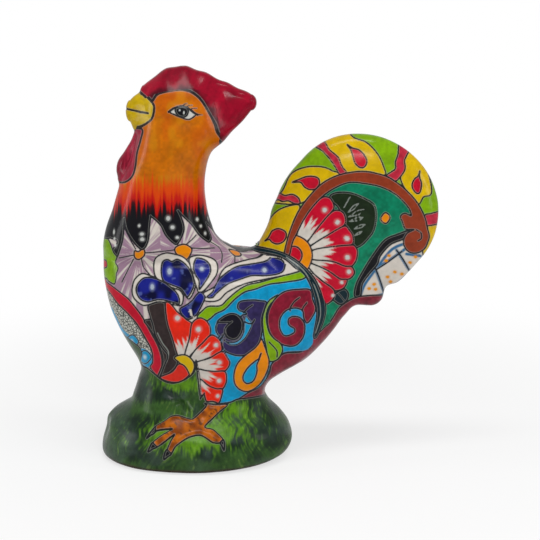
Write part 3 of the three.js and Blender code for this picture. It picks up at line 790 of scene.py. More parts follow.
def lilac(p):
    """Petal streaks that point at the nearest flower's middle."""
    centres = np.array([p.place(*heart) for heart in flower_hearts])

    def paint(x, y):
        away = np.hypot(x[:, None] - centres[:, 0], y[:, None] - centres[:, 1])
        near = away.argmin(1)
        away = away.min(1)
        angle = np.arctan2(y - centres[near, 1], x - centres[near, 0])
        rays = grain(angle * 9.5, away * 0.035, 81) * 0.6 + grain(angle * 21.0, away * 0.05, 82) * 0.5
        wash = smoothstep(0.42, 0.66, rays + 0.12 * smoothstep(6, 26, away))
        return smooth_mix(cream * 1.02, mauve, 0.82 * wash * smoothstep(3, 9, away))

    return paint


def paint_lilac_field(p):
    p.fill([
        (20, 205), (300, 205), (300, 262), (250, 266), (215, 300), (150, 330), (20, 330),
    ], lilac(p), drawn=False)
    for line in (
        [(134, 255), (118.6, 258)], [(133, 259), (121.4, 282)], [(135, 249), (124.5, 229), (123.6, 220)],
        [(144, 253), (157, 252), (173, 250)], [(141, 259), (143, 267), (149.5, 275)],
        [(177, 245), (176.4, 240)],
        [(186, 244), (191, 240), (195.7, 235)], [(190.7, 248), (202, 248.5), (214, 248)],
        [(208.6, 241), (218, 247), (221.6, 254), (221, 262.5)], [(234.4, 256), (234.3, 264)],
    ):
        p.stroke(line, heavy=-0.15)
    p.fill([
        (134, 251), (138, 251.5), (142.5, 248.6), (144.3, 252), (143.4, 256), (138.6, 259.5),
        (134.2, 257.5),
    ], orange)
    p.fill([
        (174.3, 248.6), (178, 245.5), (184.3, 244.3), (190.7, 248), (190.7, 253), (186, 259.6), (181, 257),
        (175.7, 253.6),
    ], orange)
    p.fill([(228.6, 249.6), (234, 250), (240, 253), (239.6, 255.9), (234, 255.6)], orange)


# %% [markdown]
# On the breast, cobalt petals stand in white surrounds. Cobalt glaze pools: it is nearly black in broad
# patches and breaks to a pale blue in small spots. Each petal gets one pale dab.

# %% Cobalt petals
def pooled(seed, dark=deep_cobalt):
    """Cobalt that pools: broad dark patches and small pale breaks."""

    def paint(x, y):
        broad = grain(x / 8.0, y / 8.0, seed)
        breaks = grain(x / 2.6, y / 2.6, seed + 1) * grain(x / 7.0, y / 7.0, seed + 2)
        result = smooth_mix(cobalt, dark, smoothstep(0.4, 0.8, broad))
        return smooth_mix(result, pale_cobalt, 0.5 * smoothstep(0.42, 0.62, breaks))

    return paint


# %% [markdown]
# Each petal is two outlines: a white surround, and the cobalt petal inside it.

# %% Outlines of the cobalt petals
left_surround = [
    (132, 286.4), (134.3, 279.3), (141.4, 273.6), (150, 275.7), (160, 279.5), (168, 283.5), (176, 287.5),
    (182.5, 295), (181, 305), (173, 304.6), (163, 302.2), (155.7, 302.2), (147, 305), (141.4, 305),
    (134.3, 299.3), (131.6, 293),
]
left_petal = [
    (135.7, 288), (138.6, 282), (144.3, 277.6), (153, 278), (163, 282), (174.3, 290.7), (178.6, 298),
    (178.6, 304.3), (174.3, 303), (163, 300), (155.7, 300), (147, 302), (140, 299.3), (136.4, 293.6),
]
middle_surround = [
    (153.6, 272), (153.6, 262), (157, 256.4), (165.7, 253), (174.3, 254.3), (181.4, 256.4), (187, 261),
    (192.5, 269), (195.8, 280), (193.4, 291.4), (188, 299), (181, 291), (171.4, 287.6), (162, 283),
    (156, 278),
]
middle_petal = [
    (162, 262), (167, 259.5), (171.4, 261.4), (177, 259.3), (184.3, 263.6), (190.7, 272), (193.6, 282),
    (191.4, 290.7), (187, 297), (184.3, 293.6), (180, 288.6), (171.4, 285), (163, 280.7), (160.7, 272),
]
right_surround = [
    (188.6, 259.3), (194.3, 255.7), (203, 255.7), (213, 259.3), (217, 265), (216.4, 273.6), (211, 282),
    (203.5, 290.5), (198, 292), (195, 284), (191.6, 272),
]
right_petal = [
    (197, 258), (204.3, 260), (209.3, 265), (210, 272), (206.4, 279.3), (201.4, 286.4), (198.6, 289.3),
    (198.6, 281), (195, 275), (193, 268), (194.3, 260.7),
]
stem_bud = [
    (200, 292), (204.3, 296.4), (203, 302), (200, 308), (195.7, 315), (188.6, 319.3), (183, 316.4),
    (179.3, 309.3), (185.7, 305), (191.4, 300.7), (195.7, 295),
]
long_surround = [
    (214.5, 286), (220.5, 273), (227, 266.4), (243, 260.7), (258, 257.4), (270, 255), (285.7, 259),
    (300, 268), (301.4, 271.4), (285.7, 275), (265.7, 279), (245, 283.6), (227, 292), (218.6, 300),
    (209, 301.5), (202, 299.5), (203, 293),
]
long_petal = [
    (206.4, 297), (212, 297.6), (215.7, 293.6), (227, 284.3), (240, 279.3), (251.4, 275.7), (265.7, 275.7),
    (278.6, 273.6), (283.6, 269.3), (283, 260.7), (274.3, 258), (264.3, 261.4), (248.6, 264.3), (237, 266.4),
    (227, 272), (218.6, 279.3), (214.6, 286.4), (212, 292),
]

# %% [markdown]
# The surrounds are flooded first, then the petals over them, and last the bud where they meet.

# %% Painting of the cobalt petals
surrounds = (left_surround, middle_surround, right_surround, long_surround)
petals = (left_petal, middle_petal, right_petal, long_petal)
petal_dabs = [(151.7, 287, 2.0, 3.0), (169, 271.4, 2.2, 3.2), (201.4, 269, 2.0, 2.2), (264, 270, 2.2, 2.3)]


def paint_cobalt_petals(p):
    for seed, surround in enumerate(surrounds):
        p.fill(surround, lively(cream * 1.05, 90 + seed, 0.08))
    for seed, petal in enumerate(petals):
        dark = deep_cobalt if seed < 2 else cobalt * 0.6
        p.fill(petal, pooled(100 + 3 * seed, dark=dark))
    p.fill(stem_bud, pooled(115))
    p.fill([(190.6, 309), (192, 314.6), (193.6, 318), (190.4, 315.6), (188.4, 311.4)], cream, drawn=False)
    for x, y, wide, high in petal_dabs:
        p.dab(x, y, wide, high, paint=tone(160, 172, 188), veil=0.25)


# %% [markdown]
# Low on the breast a crimson band frames a round field of fine net, which the material draws, and brown
# feathers with a pale midrib hang beside it. A lime leaf climbs the edge of the breast.

# %% Breast
def paint_breast(p):
    net_field = [(84, 292), (104, 289), (110.6, 294), (118.6, 304), (128, 314.5), (138, 326), (146, 339.5),
                 (151.6, 351), (152.6, 361.4), (151, 367), (140, 372), (84, 372)]
    p.fill(net_field, tone(188, 188, 178), net=True)
    p.fill([
        (84, 306), (108, 306), (114.4, 314), (121, 327), (126.5, 333), (131, 337), (136.6, 346),
        (146.6, 350), (152, 356), (152, 362), (148, 367), (138, 372), (84, 372),
    ], lively(sky, 120, 0.3), drawn=False)
    p.fill([
        (84, 276), (104, 278.5), (106.4, 282), (115.7, 289.3), (123, 295), (130, 301.4), (141, 315.7),
        (149.4, 330.7), (158, 347), (161.6, 361.4), (159.4, 374.3), (155, 374.3), (150, 367),
        (152.3, 361.4), (151, 350), (145, 338.6), (136.6, 324.3), (126.6, 313), (116.6, 303), (108.6, 292),
        (104, 288), (84, 286),
    ], lively(crimson, 121, 0.2))
    for x, y in ((131.6, 341.5), (144.4, 357)):
        p.fill([(x - 6.5, y), (x, y - 6.8), (x + 6.5, y), (x, y + 6.8)], lively(sky, 123, 0.25), heavy=-0.2)
        p.dab(x, y, 1.8, paint=tone(180, 204, 214), veil=0.5)
    p.fill([(147.3, 307), (152, 303.5), (163.6, 300.7), (164.4, 303), (166.6, 321.4), (172.3, 338.6),
            (176.6, 354.3), (176.6, 364.3), (171, 371.4), (162.3, 377), (157, 377), (163.7, 364.3),
            (167.3, 355.7), (162.3, 348.6), (155, 335.7), (151, 321)], lively(dark_brown, 124, 0.3))
    p.fill([(143.7, 321.4), (147, 319.6), (151, 320.7), (155, 335.7), (162.3, 348.6), (167.3, 355.7),
            (163.7, 366), (159.4, 377), (157.5, 376), (162.6, 361.4), (159, 347), (150.4, 330.7)],
           lively(dark_brown, 126, 0.3))
    p.stroke([(157, 333), (162, 343), (168, 352), (166, 362)], pale=True)
    p.fill([
        (84, 236), (104, 238), (108.6, 240.7), (113, 252), (116.4, 257), (115, 262), (117.6, 268),
        (116, 274), (115.6, 279), (113.6, 284), (108, 281), (104, 277.5), (84, 275),
    ], lively(lime, 127, 0.25))
    p.fill([(84, 260), (103, 259.5), (106.4, 263.6), (104, 268), (84, 268)], crimson)


# %% [markdown]
# The flank is a sky-blue field under a lime band, with scrolls, a leaf and a drop in navy, crimson, lime
# and orange. Each is one closed outline, and the gap inside the navy scroll is a small sky-blue shape.

# %% Flank scrolls
shared_edge = [  # below the lime band and above the sky-blue field
    (285.7, 282), (268.6, 284.3), (254.3, 289.3), (244.3, 292), (234.3, 299.3), (224.3, 309.3),
    (215.7, 313.6),
]
lime_band = [
    (196.5, 317.5), (202, 310.5), (208, 306.3), (220, 305.7), (227, 299.3), (237, 290.7), (247, 285),
    (260, 282), (280, 276.4), (301.4, 271.4), (303.6, 278.6), *shared_edge, (208.6, 319.6), (202, 322),
]
sky_field = [
    (205, 321), *shared_edge[::-1], (303.6, 277), (330, 285), (330, 345), (309, 351), (283, 353), (272, 364),
    (262, 386), (247, 394), (236, 402), (216, 404), (198, 400), (193, 350), (196, 325),
]
maroon_hem = [
    (236, 401.5), (247, 393.4), (260, 386.4), (268.6, 373.6), (271.4, 363.6), (283, 353.6), (296, 352.4),
    (307, 350), (313, 343), (316, 334.5), (330, 310), (372, 320), (372, 392), (300, 424), (250, 424),
    (240, 404),
]
navy_scroll = [
    (237, 306.4), (240, 301.4), (251.4, 300), (260, 300.7), (265.7, 302), (264.3, 308), (261.4, 318),
    (261.4, 330.7), (259.3, 342), (251.4, 352), (241.4, 355.7), (231.4, 354.3), (223, 349.3), (220.7, 339.3),
    (215.4, 330.7), (217, 322), (223, 316.4), (230, 313.6), (237, 315), (241, 319), (243, 324), (241, 316),
    (246, 314), (243.5, 312), (239, 310.5),
]
navy_curl = [
    (217, 322), (223, 316.4), (230, 313.6), (237, 315), (242, 322), (241.4, 330.7), (237, 338),
    (231.4, 339.3), (225.7, 336.4), (224.3, 329.3), (227, 325), (229, 322.5),
]
lime_leaf = [
    (277, 295), (268.6, 300.7), (264.3, 309.3), (262, 319.3), (263, 333.6), (265.7, 348), (268.6, 360.7),
    (277, 359.3), (282, 350.7), (280, 343.6), (273, 338), (268, 330.7), (265.7, 316.4), (268.6, 306.4),
    (274.3, 299.3),
]
crimson_scroll = [
    (271.4, 303.6), (278.6, 295), (287, 290.7), (298.6, 289.3), (309.3, 290), (312, 299.3), (315, 308),
    (313, 315), (307, 323), (303.4, 318), (302, 310.7), (294.3, 308), (285.7, 310.7), (280, 318),
    (279.3, 328), (284.3, 335.7), (293, 333), (294, 329), (288.6, 325), (288, 319.3), (293, 316.4),
    (300, 318), (304.3, 325), (303, 336.4), (295.7, 345), (285.7, 345.7), (275.7, 340.7), (268.6, 330.7),
    (267, 316.4),
]
orange_drop = [
    (260.7, 338), (265.7, 350.7), (268.6, 362), (265.7, 373.6), (258.6, 385), (248.6, 391.4), (240, 390),
    (234.3, 383.6), (233.6, 373.6), (237, 363.6), (244.3, 355.7), (254.3, 348), (259, 342),
]
drop_eye = [
    (258.6, 358.6), (256.4, 364.6), (256.4, 372), (253, 380.7), (247, 383.6), (243, 380.7), (243, 375),
    (248.6, 366.4),
]


# %% [markdown]
# The sky-blue field is flooded first and the ornaments over it, from the back to the front. Short open
# strokes part the curls of the scrolls.

# %% Painting of the flank
def paint_flank(p):
    p.fill(sky_field, lively(sky * 0.94, 130, 0.25))
    p.fill(maroon_hem, lively(maroon, 131, 0.55, 8.0))
    p.fill(lime_band, lively(lime, 133, 0.2))
    p.fill(crimson_scroll, lively(deep_crimson * 1.15, 134, 0.4, 5.0))
    for line in ([(289.6, 311), (290.5, 306.5), (294, 301.5), (299, 297.6)],
                 [(301.8, 311), (303, 307), (306.6, 302.6)]):
        p.stroke(line)
    p.fill(lime_leaf, lively(lime, 136, 0.2))
    p.stroke([(268.6, 342), (274.3, 348), (276.6, 352), (276.4, 357)])
    p.fill(navy_scroll, lively(navy, 137, 0.5, 5.0))
    p.fill([
        (245, 316), (248, 319), (251.4, 324), (247.6, 333), (243.6, 339), (237, 344), (230, 344.5),
        (224, 340), (221.6, 334), (225, 341), (233, 342.4), (239.6, 339), (243.6, 331), (244, 322),
    ], lively(sky, 138), heavy=-0.2)
    p.fill(navy_curl, lively(deep_navy, 139, 0.5))
    p.stroke([(231.5, 321.5), (227, 325), (224.3, 330), (226.5, 336.6), (232, 339.6)])
    p.stroke([(243, 313), (246.5, 309), (252, 305)])
    p.stroke([(244, 321.6), (248.6, 323.6), (252, 323), (254, 319.6)])
    p.fill(orange_drop, lively(orange, 140, 0.15))
    p.fill(drop_eye, lively(sky, 141, 0.2))
    p.stroke([(260.4, 353.4), (258.6, 358.6)], heavy=0.2)


# %% [markdown]
# Two large flowers use the same brushwork: white at the middle, colour outside, spiky rays between. One
# is orange-red on the belly, the other red on the tail.

# %% Belly flower
belly_heart = (188, 366)
belly_petals = [
    [(165, 303.5), (169, 303), (173, 307), (177, 312), (185.7, 319.3), (191.4, 324), (190, 335), (184.4, 354),
     (178, 356.5), (172, 338.6), (166.6, 321.4)],
    [(191.4, 323.6), (198.6, 318), (205.7, 320.7), (209.8, 328), (209, 336.4), (202, 343), (193.6, 351.4),
     (188, 357), (184.4, 354), (189, 338)],
    [(193.6, 351.4), (202, 343), (210.7, 335), (218.6, 339.3), (221.2, 346.4), (220, 353), (209, 357.5),
     (198, 361.4), (189, 361)],
    [(198, 361.4), (209, 358), (221.4, 351.4), (227, 358), (229.3, 363.6), (224.3, 371), (214.3, 371.4),
     (203, 370.7), (196.6, 370), (192, 365)],
    [(197, 369.6), (206, 370.6), (214.3, 371.4), (224.3, 371.6), (226, 380.7), (222, 389), (215.7, 388.6),
     (208, 385.5), (199.4, 380)],
    [(199, 379.6), (208, 385.5), (215.7, 388.6), (222, 389.3), (221, 396.4), (218, 403.5), (212, 402.5),
     (206, 402.5), (203.7, 394.6), (200.2, 399)],
]
belly_dabs = [(177, 318, 3.3), (198, 329.3, 3.2), (215.7, 345, 2.8), (218.6, 362.4, 2.9), (218.6, 380.7, 2.8),
              (217.2, 396, 2.2)]


def paint_belly_flower(p):
    heart = p.place(*belly_heart)
    paint = lively(flare(heart, cream, tone(214, 34, 10), 22, 27, 90, 15, 150), 151, 0.14)
    for petal in belly_petals:
        p.fill(petal, paint)
    for x, y, wide in belly_dabs:
        p.dab(x, y, 0.78 * wide, veil=0.25)
    p.fill([
        (174, 357.5), (183.7, 354.7), (191.5, 359.4), (194, 367), (191, 374.6), (188, 376), (180, 364),
    ], sun)
    p.fill([(178, 364), (184, 366), (188, 372.6), (187.8, 376), (179.4, 382), (169.4, 382), (159.6, 377.4),
            (171.6, 371.8)], lively(tone(204, 40, 26), 153, 0.15))
    p.fill([(196, 362), (198.4, 372), (199.6, 380), (200.6, 398.5), (198, 396), (196.6, 380), (194.5, 370)],
           cream, heavy=-0.2)


# %% [markdown]
# The mound is grass: short upward strokes of bright and dark green over a grey-green wash, brightest
# round the toes, and greyer towards its left edge, which is painted shade. Along its lowest few
# millimetres the mound turns dark brown. The feet are orange-brown with dark scales.

# %% Grass
hem = [
    (130, 340), (140.5, 363.5), (147.3, 368.6), (155, 375), (163.7, 381.4), (172.3, 383.6), (181, 381.4),
    (189.4, 376.4), (194, 371), (195.5, 362), (195.5, 362), (197.6, 380), (198.7, 391.4), (200, 398.6),
    (200, 398.6), (203.7, 393.6), (203.7, 393.6), (206, 401.4), (212.3, 401.4), (218, 403.4),
    (222.3, 403.6), (231, 402), (237.3, 399.4), (247, 398.4), (257, 396.8), (266, 394), (280, 386),
]
grass_light = tone(94, 146, 12)
grass_mid = tone(52, 84, 36)
grass_dark = tone(22, 40, 26)
grass_grey = tone(62, 76, 70)
# Bright tufts at the toes, under the breast and behind the foot: place, spread in pixels, and strength
grass_tufts = [(195, 436, 62, 17, 1.0), (178, 385, 26, 9, 0.8), (236, 408, 26, 9, 0.7)]


def grass(x, y):
    """Dark, grey and bright greens: broad patches, then short strokes that fan out from the toes."""
    sway = 9.0 * grain(x / 16.0, y / 13.0, 164) + (x - 200) * (430 - y) / 160
    strokes = 0.6 * grain((x + sway) / 1.2, y / 6.5, 160) + 0.4 * grain((x - sway) / 2.8, y / 9.0, 166)
    broad = grain(x / 17.0, y / 12.0, 161)
    result = smooth_mix(grass_dark, grass_mid, smoothstep(0.2, 0.72, 0.6 * broad + 0.4 * strokes))
    # Painted shade: the grey grows towards the mound's left edge, over grey patches that are random.
    grey = smoothstep(0.45, 0.85, grain(x / 13.0, y / 11.0, 162) + 0.35 * smoothstep(150, 112, x))
    result = smooth_mix(result, grass_grey, 0.5 * grey)
    lit = 0
    for middle_x, middle_y, wide, high, share in grass_tufts:
        lit = lit + share * np.exp(-(((x - middle_x) / wide) ** 2) - ((y - middle_y) / high) ** 2)
    bright = smoothstep(0.45, 0.8, strokes * 0.6 + 0.8 * lit * (0.5 + 0.5 * broad))
    result = smooth_mix(result, grass_light, 0.75 * bright)
    tips = smoothstep(0.7, 0.85, strokes) * smoothstep(0.3, 0.6, broad + 0.5 * lit)
    return smooth_mix(result, tone(140, 160, 90), 0.18 * tips)


def paint_mound(p):
    p.fill(hem + [(330, 372), (380, 520), (20, 520), (20, 300)], lively(grass, 163, 0.25, 4.0), fine=4)
    # Darker towards the bottom: a dark brown band over the mound's lowest few millimetres.
    rim = smoothstep(4.5, 0.5, p.skin.base[:, 2] - 1.5 * grain(p.x / 6.0, p.y / 6.0, 165))
    p.colour[:] = smooth_mix(p.colour, tone(58, 42, 32), rim)


# %% [markdown]
# A foot is one outline with three long toes forward and one back. The claws are painted black over it.

# %% Feet
foot_outline = [
    (204.4, 403.4), (206, 405), (203.7, 408.6), (198, 414.3), (192.3, 419.3), (187, 418.6), (178, 416.4),
    (171, 416.6), (163.7, 421.4), (155.5, 426.4), (154.4, 431.2), (161, 429.6), (172.3, 428.8),
    (169.4, 430.7), (161, 435.7), (153.4, 442.6), (158, 446), (165, 441.4), (174.6, 434), (171, 440.7),
    (167.6, 449.6), (171, 453.4), (175, 446.6), (182.3, 440.7), (189.4, 437), (199.4, 435.6),
    (206.6, 439.3), (213, 443.4), (220.6, 443.6), (223.6, 440.6), (218, 434.6), (212.3, 430), (204.6, 428),
    (206.6, 424.3), (212.3, 418.6), (219.4, 411.4), (227.3, 404.3), (216, 404.6),
]
claws = [
    [(155.8, 426), (151, 431.4), (147, 438), (151.6, 434.6), (155.4, 432)],
    [(153.4, 442), (150.6, 446), (148.4, 451.6), (153, 448.6), (157.4, 446.4)],
    [(167.2, 449), (164.4, 453.6), (163.4, 459.6), (167.4, 456.6), (171, 453.8)],
    [(220.4, 443.4), (222, 446.4), (224, 451), (225, 445.4), (223.9, 440.6)],
]


def foot_paint(x, y):
    """Orange-brown skin, darker in patches, with short dark scale strokes across the shank."""
    strokes = grain((x + y) / 5.0, (y - x) / 1.7, 170)
    patch = grain(x / 6.0, y / 6.0, 171)
    result = smooth_mix(tone(178, 94, 12), tone(130, 62, 12), smoothstep(0.3, 0.8, patch))
    scales = smoothstep(0.62, 0.8, strokes) * smoothstep(0.3, 0.6, grain(x / 4.0, y / 4.0, 172))
    return smooth_mix(result, tone(70, 40, 22), 0.8 * scales)


def paint_foot(p):
    p.fill(foot_outline, foot_paint, fine=3)
    for claw in claws:
        p.fill(claw, black_glaze, heavy=0.1, fine=3)


# %% [markdown]
# The tail carries a green field with a red flower, a dark leaf and a patch of blue lattice, inside a
# brown arc with a curled end. The flower is brushed like the one on the belly, only red. The lattice is
# drawn in watery blue under the black lines, with a dot of orange in each cell.

# %% Tail field
tail_heart = (292, 254)
tail_petals = [
    [(296.5, 234.6), (302, 222), (311, 207), (321.2, 197.7), (328.8, 197.7), (333, 203.8), (332.4, 210),
     (322, 222), (309.6, 238.4), (300, 246)],
    [(309.6, 238.4), (322, 222), (332, 211.5), (339.6, 210.8), (344.2, 215.4), (343.8, 225), (329, 234),
     (313.5, 243.6), (304, 248)],
    [(313.5, 243.6), (329, 234), (343.8, 226), (348.8, 230), (352.4, 236.2), (350.8, 245), (333, 246.5),
     (313.5, 249.8), (305, 251)],
    [(313.5, 249.8), (333, 246.5), (351, 245), (354.5, 246.2), (357, 251.5), (355.4, 260.8), (350, 267),
     (344, 266), (332, 261.5), (315, 260), (306, 257)],
    [(315, 260), (332, 261.5), (344, 266), (351, 266.6), (353.9, 273), (348.8, 278.9), (339.6, 278.9),
     (328, 271), (313.5, 264.4), (306, 259)],
    [(313.5, 264.4), (328, 271), (339.6, 278.9), (346.5, 279.6), (344.2, 287), (338, 290.4), (332, 289.6),
     (322, 281), (312.7, 273), (305, 263)],
    [(304, 263), (312.7, 273), (322, 281), (333.5, 290), (332.4, 299.2), (323, 303), (317, 292), (309, 279)],
]
tail_dabs = [
    (324.2, 210, 3.1), (337, 222.3, 3.1), (346.5, 238.5, 3.1), (347, 257.4, 3.1), (348.4, 271.8, 2.9),
    (341.2, 282.3, 2.3), (332.4, 295.4, 2.1),
]
dark_leaf = [
    (330, 195.2), (338, 192.3), (350.4, 193), (362.7, 197.7), (373.5, 204.6), (375.8, 216.2), (373.5, 230),
    (367.3, 239.2), (359.6, 246.2), (353.5, 245.4), (345, 225), (338, 208), (331, 201),
]
leaf_ribs = [
    ((347.5, 212.5), (358, 203.5)), ((348, 217), (364.5, 209.5)), ((348.5, 221.5), (363, 217.5)),
    ((353, 229), (365, 224.5)), ((354, 235.5), (361.5, 231.5)),
]
# %% [markdown]
# The brown arc shares its outer edge with the lime of the rim, and the black arc shares one with the
# lattice. A shared edge is listed once, so the two outlines can't drift apart.

# %% Arcs and lattice
arc_edge = [  # outside the brown arc and inside the rim's lime
    (287.3, 237.7), (292.7, 222.3), (299.6, 208.5), (308.8, 196.2), (321.2, 183.8), (335, 176.2),
    (350.4, 172.3), (365.8, 171.5), (384.3, 175.7), (395.7, 182), (407, 191.4), (417, 203), (424.3, 217),
]
brown_arc = [
    (283.5, 256), *arc_edge, (427, 228), (429, 236), (427.6, 242), (424.3, 248.6), (417, 253), (408.6, 252),
    (403.6, 245.7), (403.6, 238.6), (407, 233), (413.6, 229.6), (405, 229), (402, 222), (400, 216.4),
    (404.3, 213.2), (410, 215.7), (410.7, 214.3), (408.6, 208.6), (401.4, 200), (391.4, 192),
    (378.6, 186.4), (365.8, 183.8), (350.4, 182.3), (338, 186.2), (324.2, 194.6), (312, 207),
    (302.7, 220.8), (295.8, 234.6), (292, 242.3), (288.5, 256),
]
lattice_edge = [
    (360, 296), (361.8, 284.3), (368.6, 274.3), (377, 264.3), (380, 255.7), (390, 244.6), (403, 239),
]
black_arc = [
    (354, 296), (355.7, 284.3), (363, 270), (373, 254.3), (384.3, 240), (397, 234.3), (408, 230.6),
    (407, 234.5), *lattice_edge[::-1],
]
lattice = lattice_edge + [(409, 252), (440, 252), (440, 300), (390, 310), (360, 303)]
lattice_blues = [
    [(358, 303), (363, 287), (371, 275), (380, 263), (392, 249), (406, 243)],
    [(374.3, 267), (383, 291.4), (385, 300)], [(372, 271), (386, 262), (401.4, 251.4), (408, 246)],
    [(396, 250), (408.6, 270), (412, 276)], [(361, 300), (372, 297), (384, 294)],
    [(384, 293), (400, 281), (414, 268)], [(406, 254), (420, 256)],
]
lattice_blacks = [
    [(374.3, 267), (379.5, 280), (383.5, 293)], [(376, 269.6), (388, 261.6), (401.4, 251.4)],
    [(396, 250), (403, 260), (409, 271)],
]
lattice_dots = [
    (368.6, 288.6), (373.6, 284.3), (375, 289.3), (387, 277), (394.3, 272), (401.4, 274), (390, 281.7),
    (385.7, 260.7), (388.6, 255.7), (409.6, 262.6), (415, 257), (398, 284), (407, 283), (420, 268),
]


# %% [markdown]
# The tail's field is painted from the back to the front too: green, leaf, flower, lattice, black arc.

# %% Painting of the tail's field
def paint_tail_field(p):
    field = [(283, 262), (286, 236), (300, 205), (325, 180), (352, 174), (385, 178), (412, 200), (425, 228),
             (425, 262), (392, 300), (350, 306), (330, 330), (316, 345), (314, 300), (300, 268)]
    green = flare((300, 210), deep_teal, teal, 10, 60, 9, 65, 180)
    p.fill(field, lively(green, 181, 0.45, 8.0))
    p.fill([
        (331, 297), (336, 292.5), (344, 289), (348, 294), (346, 301), (340, 304.5), (334, 301),
    ], lively(slate, 183))
    p.stroke([(338, 293.6), (341, 297), (344, 301)], heavy=-0.2)
    p.fill(dark_leaf, lively(leaf, 184, 0.4))
    p.stroke([(343.5, 207.5), (349.5, 197)], heavy=0.1, pale=True)
    for start, tip in leaf_ribs:
        run = np.subtract(tip, start)
        for bend in (-0.11, 0.11):  # a rib is a thin loop: two lines that bend apart
            p.stroke([start, start + 0.6 * run + bend * np.array([-run[1], run[0]]), tip], pale=True)
    paint = lively(flare(tail_heart, cream, crimson, 35, 40, 110, 16, 186), 187, 0.16)
    for petal in tail_petals:
        p.fill(petal, paint)
    for x, y, wide in tail_dabs:
        p.dab(x, y, 0.78 * wide, veil=0.2)
    p.fill([(290, 237), (296, 235.6), (304, 239.4), (309.6, 246), (311.8, 256.2), (309, 266), (303.5, 272.6),
            (296, 262), (292, 250)], lively(orange, 188, 0.12))
    p.fill([(285, 250), (290, 246.8), (296, 246.8), (300.6, 251), (301.4, 257), (298.6, 262), (293, 263),
            (286, 258)], lively(tone(184, 6, 36), 189, 0.15))
    p.fill([(380.6, 217.5), (385, 212.6), (389.6, 217.3), (386, 223.3), (381.6, 221.8)], orange)
    p.fill(lattice, lively(cream * 1.02, 190, 0.08))
    for line in lattice_blues:
        p.stroke(line, paint=tone(44, 96, 136), width=1.5)
    for line in lattice_blacks:
        p.stroke(line)
    for x, y in lattice_dots:
        p.dab(x, y, 2.0, 1.6, paint=tone(206, 132, 16), veil=0.2)
    p.fill(black_arc, lively(black_glaze, 191, 0.5), heavy=0.1)


# %% [markdown]
# Round the rim run yellow feathers, each with a red drop, and crimson squiggles between them.

# %% Tail rim
rim_yellow = [
    [
        (262, 262), (258, 240), (262, 228), (269.6, 218), (278, 210), (290.4, 205.4), (299.4, 206.5),
        (294, 225), (286, 262),
    ],
    [
        (272, 202), (277, 196), (282.7, 189.2), (288.8, 176.2), (296.5, 170), (308.8, 166.6), (322.7, 167),
        (332, 170.8), (339.5, 175), (322, 187), (305, 201), (296, 204), (284, 204),
    ],
    [
        (324, 141), (332, 134), (345, 130), (353.5, 137.7), (365.8, 142.3), (376.5, 153), (382.7, 165.4),
        (384, 175.6), (365, 173), (345, 173), (341, 166), (333, 156),
    ],
    [
        (400, 178), (404, 160), (408, 148), (414, 150), (427, 171.4), (431, 193), (423, 197), (418, 204),
        (408, 194),
    ],
    [(440, 215), (440, 262), (426, 262), (422, 248), (427, 238), (426, 223)],
]
rim_drops = [
    [
        (264.2, 240.8), (268, 237), (271.5, 231), (278, 228.6), (284.5, 231.4), (285.8, 236), (283, 241.5),
        (277, 244), (271.6, 242.4), (268.6, 239.4),
    ],
    [
        (292, 182.3), (298, 179.6), (306, 176.6), (313, 176.4), (318, 178.6), (318.8, 184), (315, 189),
        (309, 189.6), (304, 187), (300, 182.4),
    ],
    [
        (346.6, 144.6), (352, 148), (358, 149.6), (363, 154), (366.4, 161), (364, 167), (359, 167.4),
        (354.6, 163), (352, 155), (350, 149.6),
    ],
    [
        (419.3, 171), (419, 177), (421, 183), (420, 191), (417, 193.6), (413, 190), (411.6, 184.6),
        (414, 179), (417.6, 176),
    ],
]
rim_squiggles = [
    [
        (262, 208), (272, 198), (278.8, 193.4), (284.2, 195.4), (292, 194.4), (298, 198), (299.4, 203.5),
        (294, 203.6), (288, 201), (282, 201.5), (276, 200), (268, 208),
    ],
    [
        (314, 146), (319, 142.4), (324, 141.6), (329, 149.8), (337.4, 157), (341.4, 166), (346, 173),
        (339.6, 175), (335, 167.6), (330, 160), (322, 151),
    ],
    [(399, 140), (405, 141.6), (409, 147), (408, 152), (404.3, 160), (404.8, 168), (402, 174), (394.3, 181.6),
     (385.7, 176.4), (390, 172.4), (395, 168.6), (395, 162), (397.6, 154), (398, 147)],
    [(424.3, 215.4), (430, 213.6), (442, 211.6), (442, 222), (432, 225.2), (425.7, 224.6)],
]


# %% [markdown]
# The rim is flooded with lime first. Feathers, squiggles and drops are laid on it in turn. The brown arc
# comes last, so that it covers their inner ends. Below the tail the edge is plain maroon.

# %% Painting of the tail's rim, edge and joint
def paint_tail_rim(p):
    band = [(240, 270), (245, 190), (280, 140), (340, 110), (410, 110), (460, 160), (460, 230), (430, 262),
            (424, 262), (429, 236), *arc_edge[::-1], (283.5, 262)]
    p.fill(band, lively(lime, 200, 0.25, 10.0))
    for seed, feather in enumerate(rim_yellow):
        p.fill(feather, lively(sun, 201 + seed, 0.14, 6.0))
    for seed, squiggle in enumerate(rim_squiggles):
        p.fill(squiggle, lively(tone(172, 36, 56), 210 + seed, 0.4, 4.0))
    for seed, drop in enumerate(rim_drops):
        p.fill(drop, lively(tone(182, 12, 40), 215 + seed, 0.2))
    p.fill(brown_arc, lively(brown, 220, 0.2))
    p.stroke([(416, 229.8), (420.6, 233), (421, 238.5), (417.6, 240.8)])


def paint_tail_underside(p):
    p.fill([
        (300, 357), (298, 350), (307, 341), (312, 337), (318, 333), (324, 326), (333, 315), (340, 306.4),
        (354.3, 297.8), (368.6, 295.4), (383, 294.8), (395, 292), (400, 330), (330, 372), (304, 366),
    ], lively(maroon, 222, 0.5, 6.0))


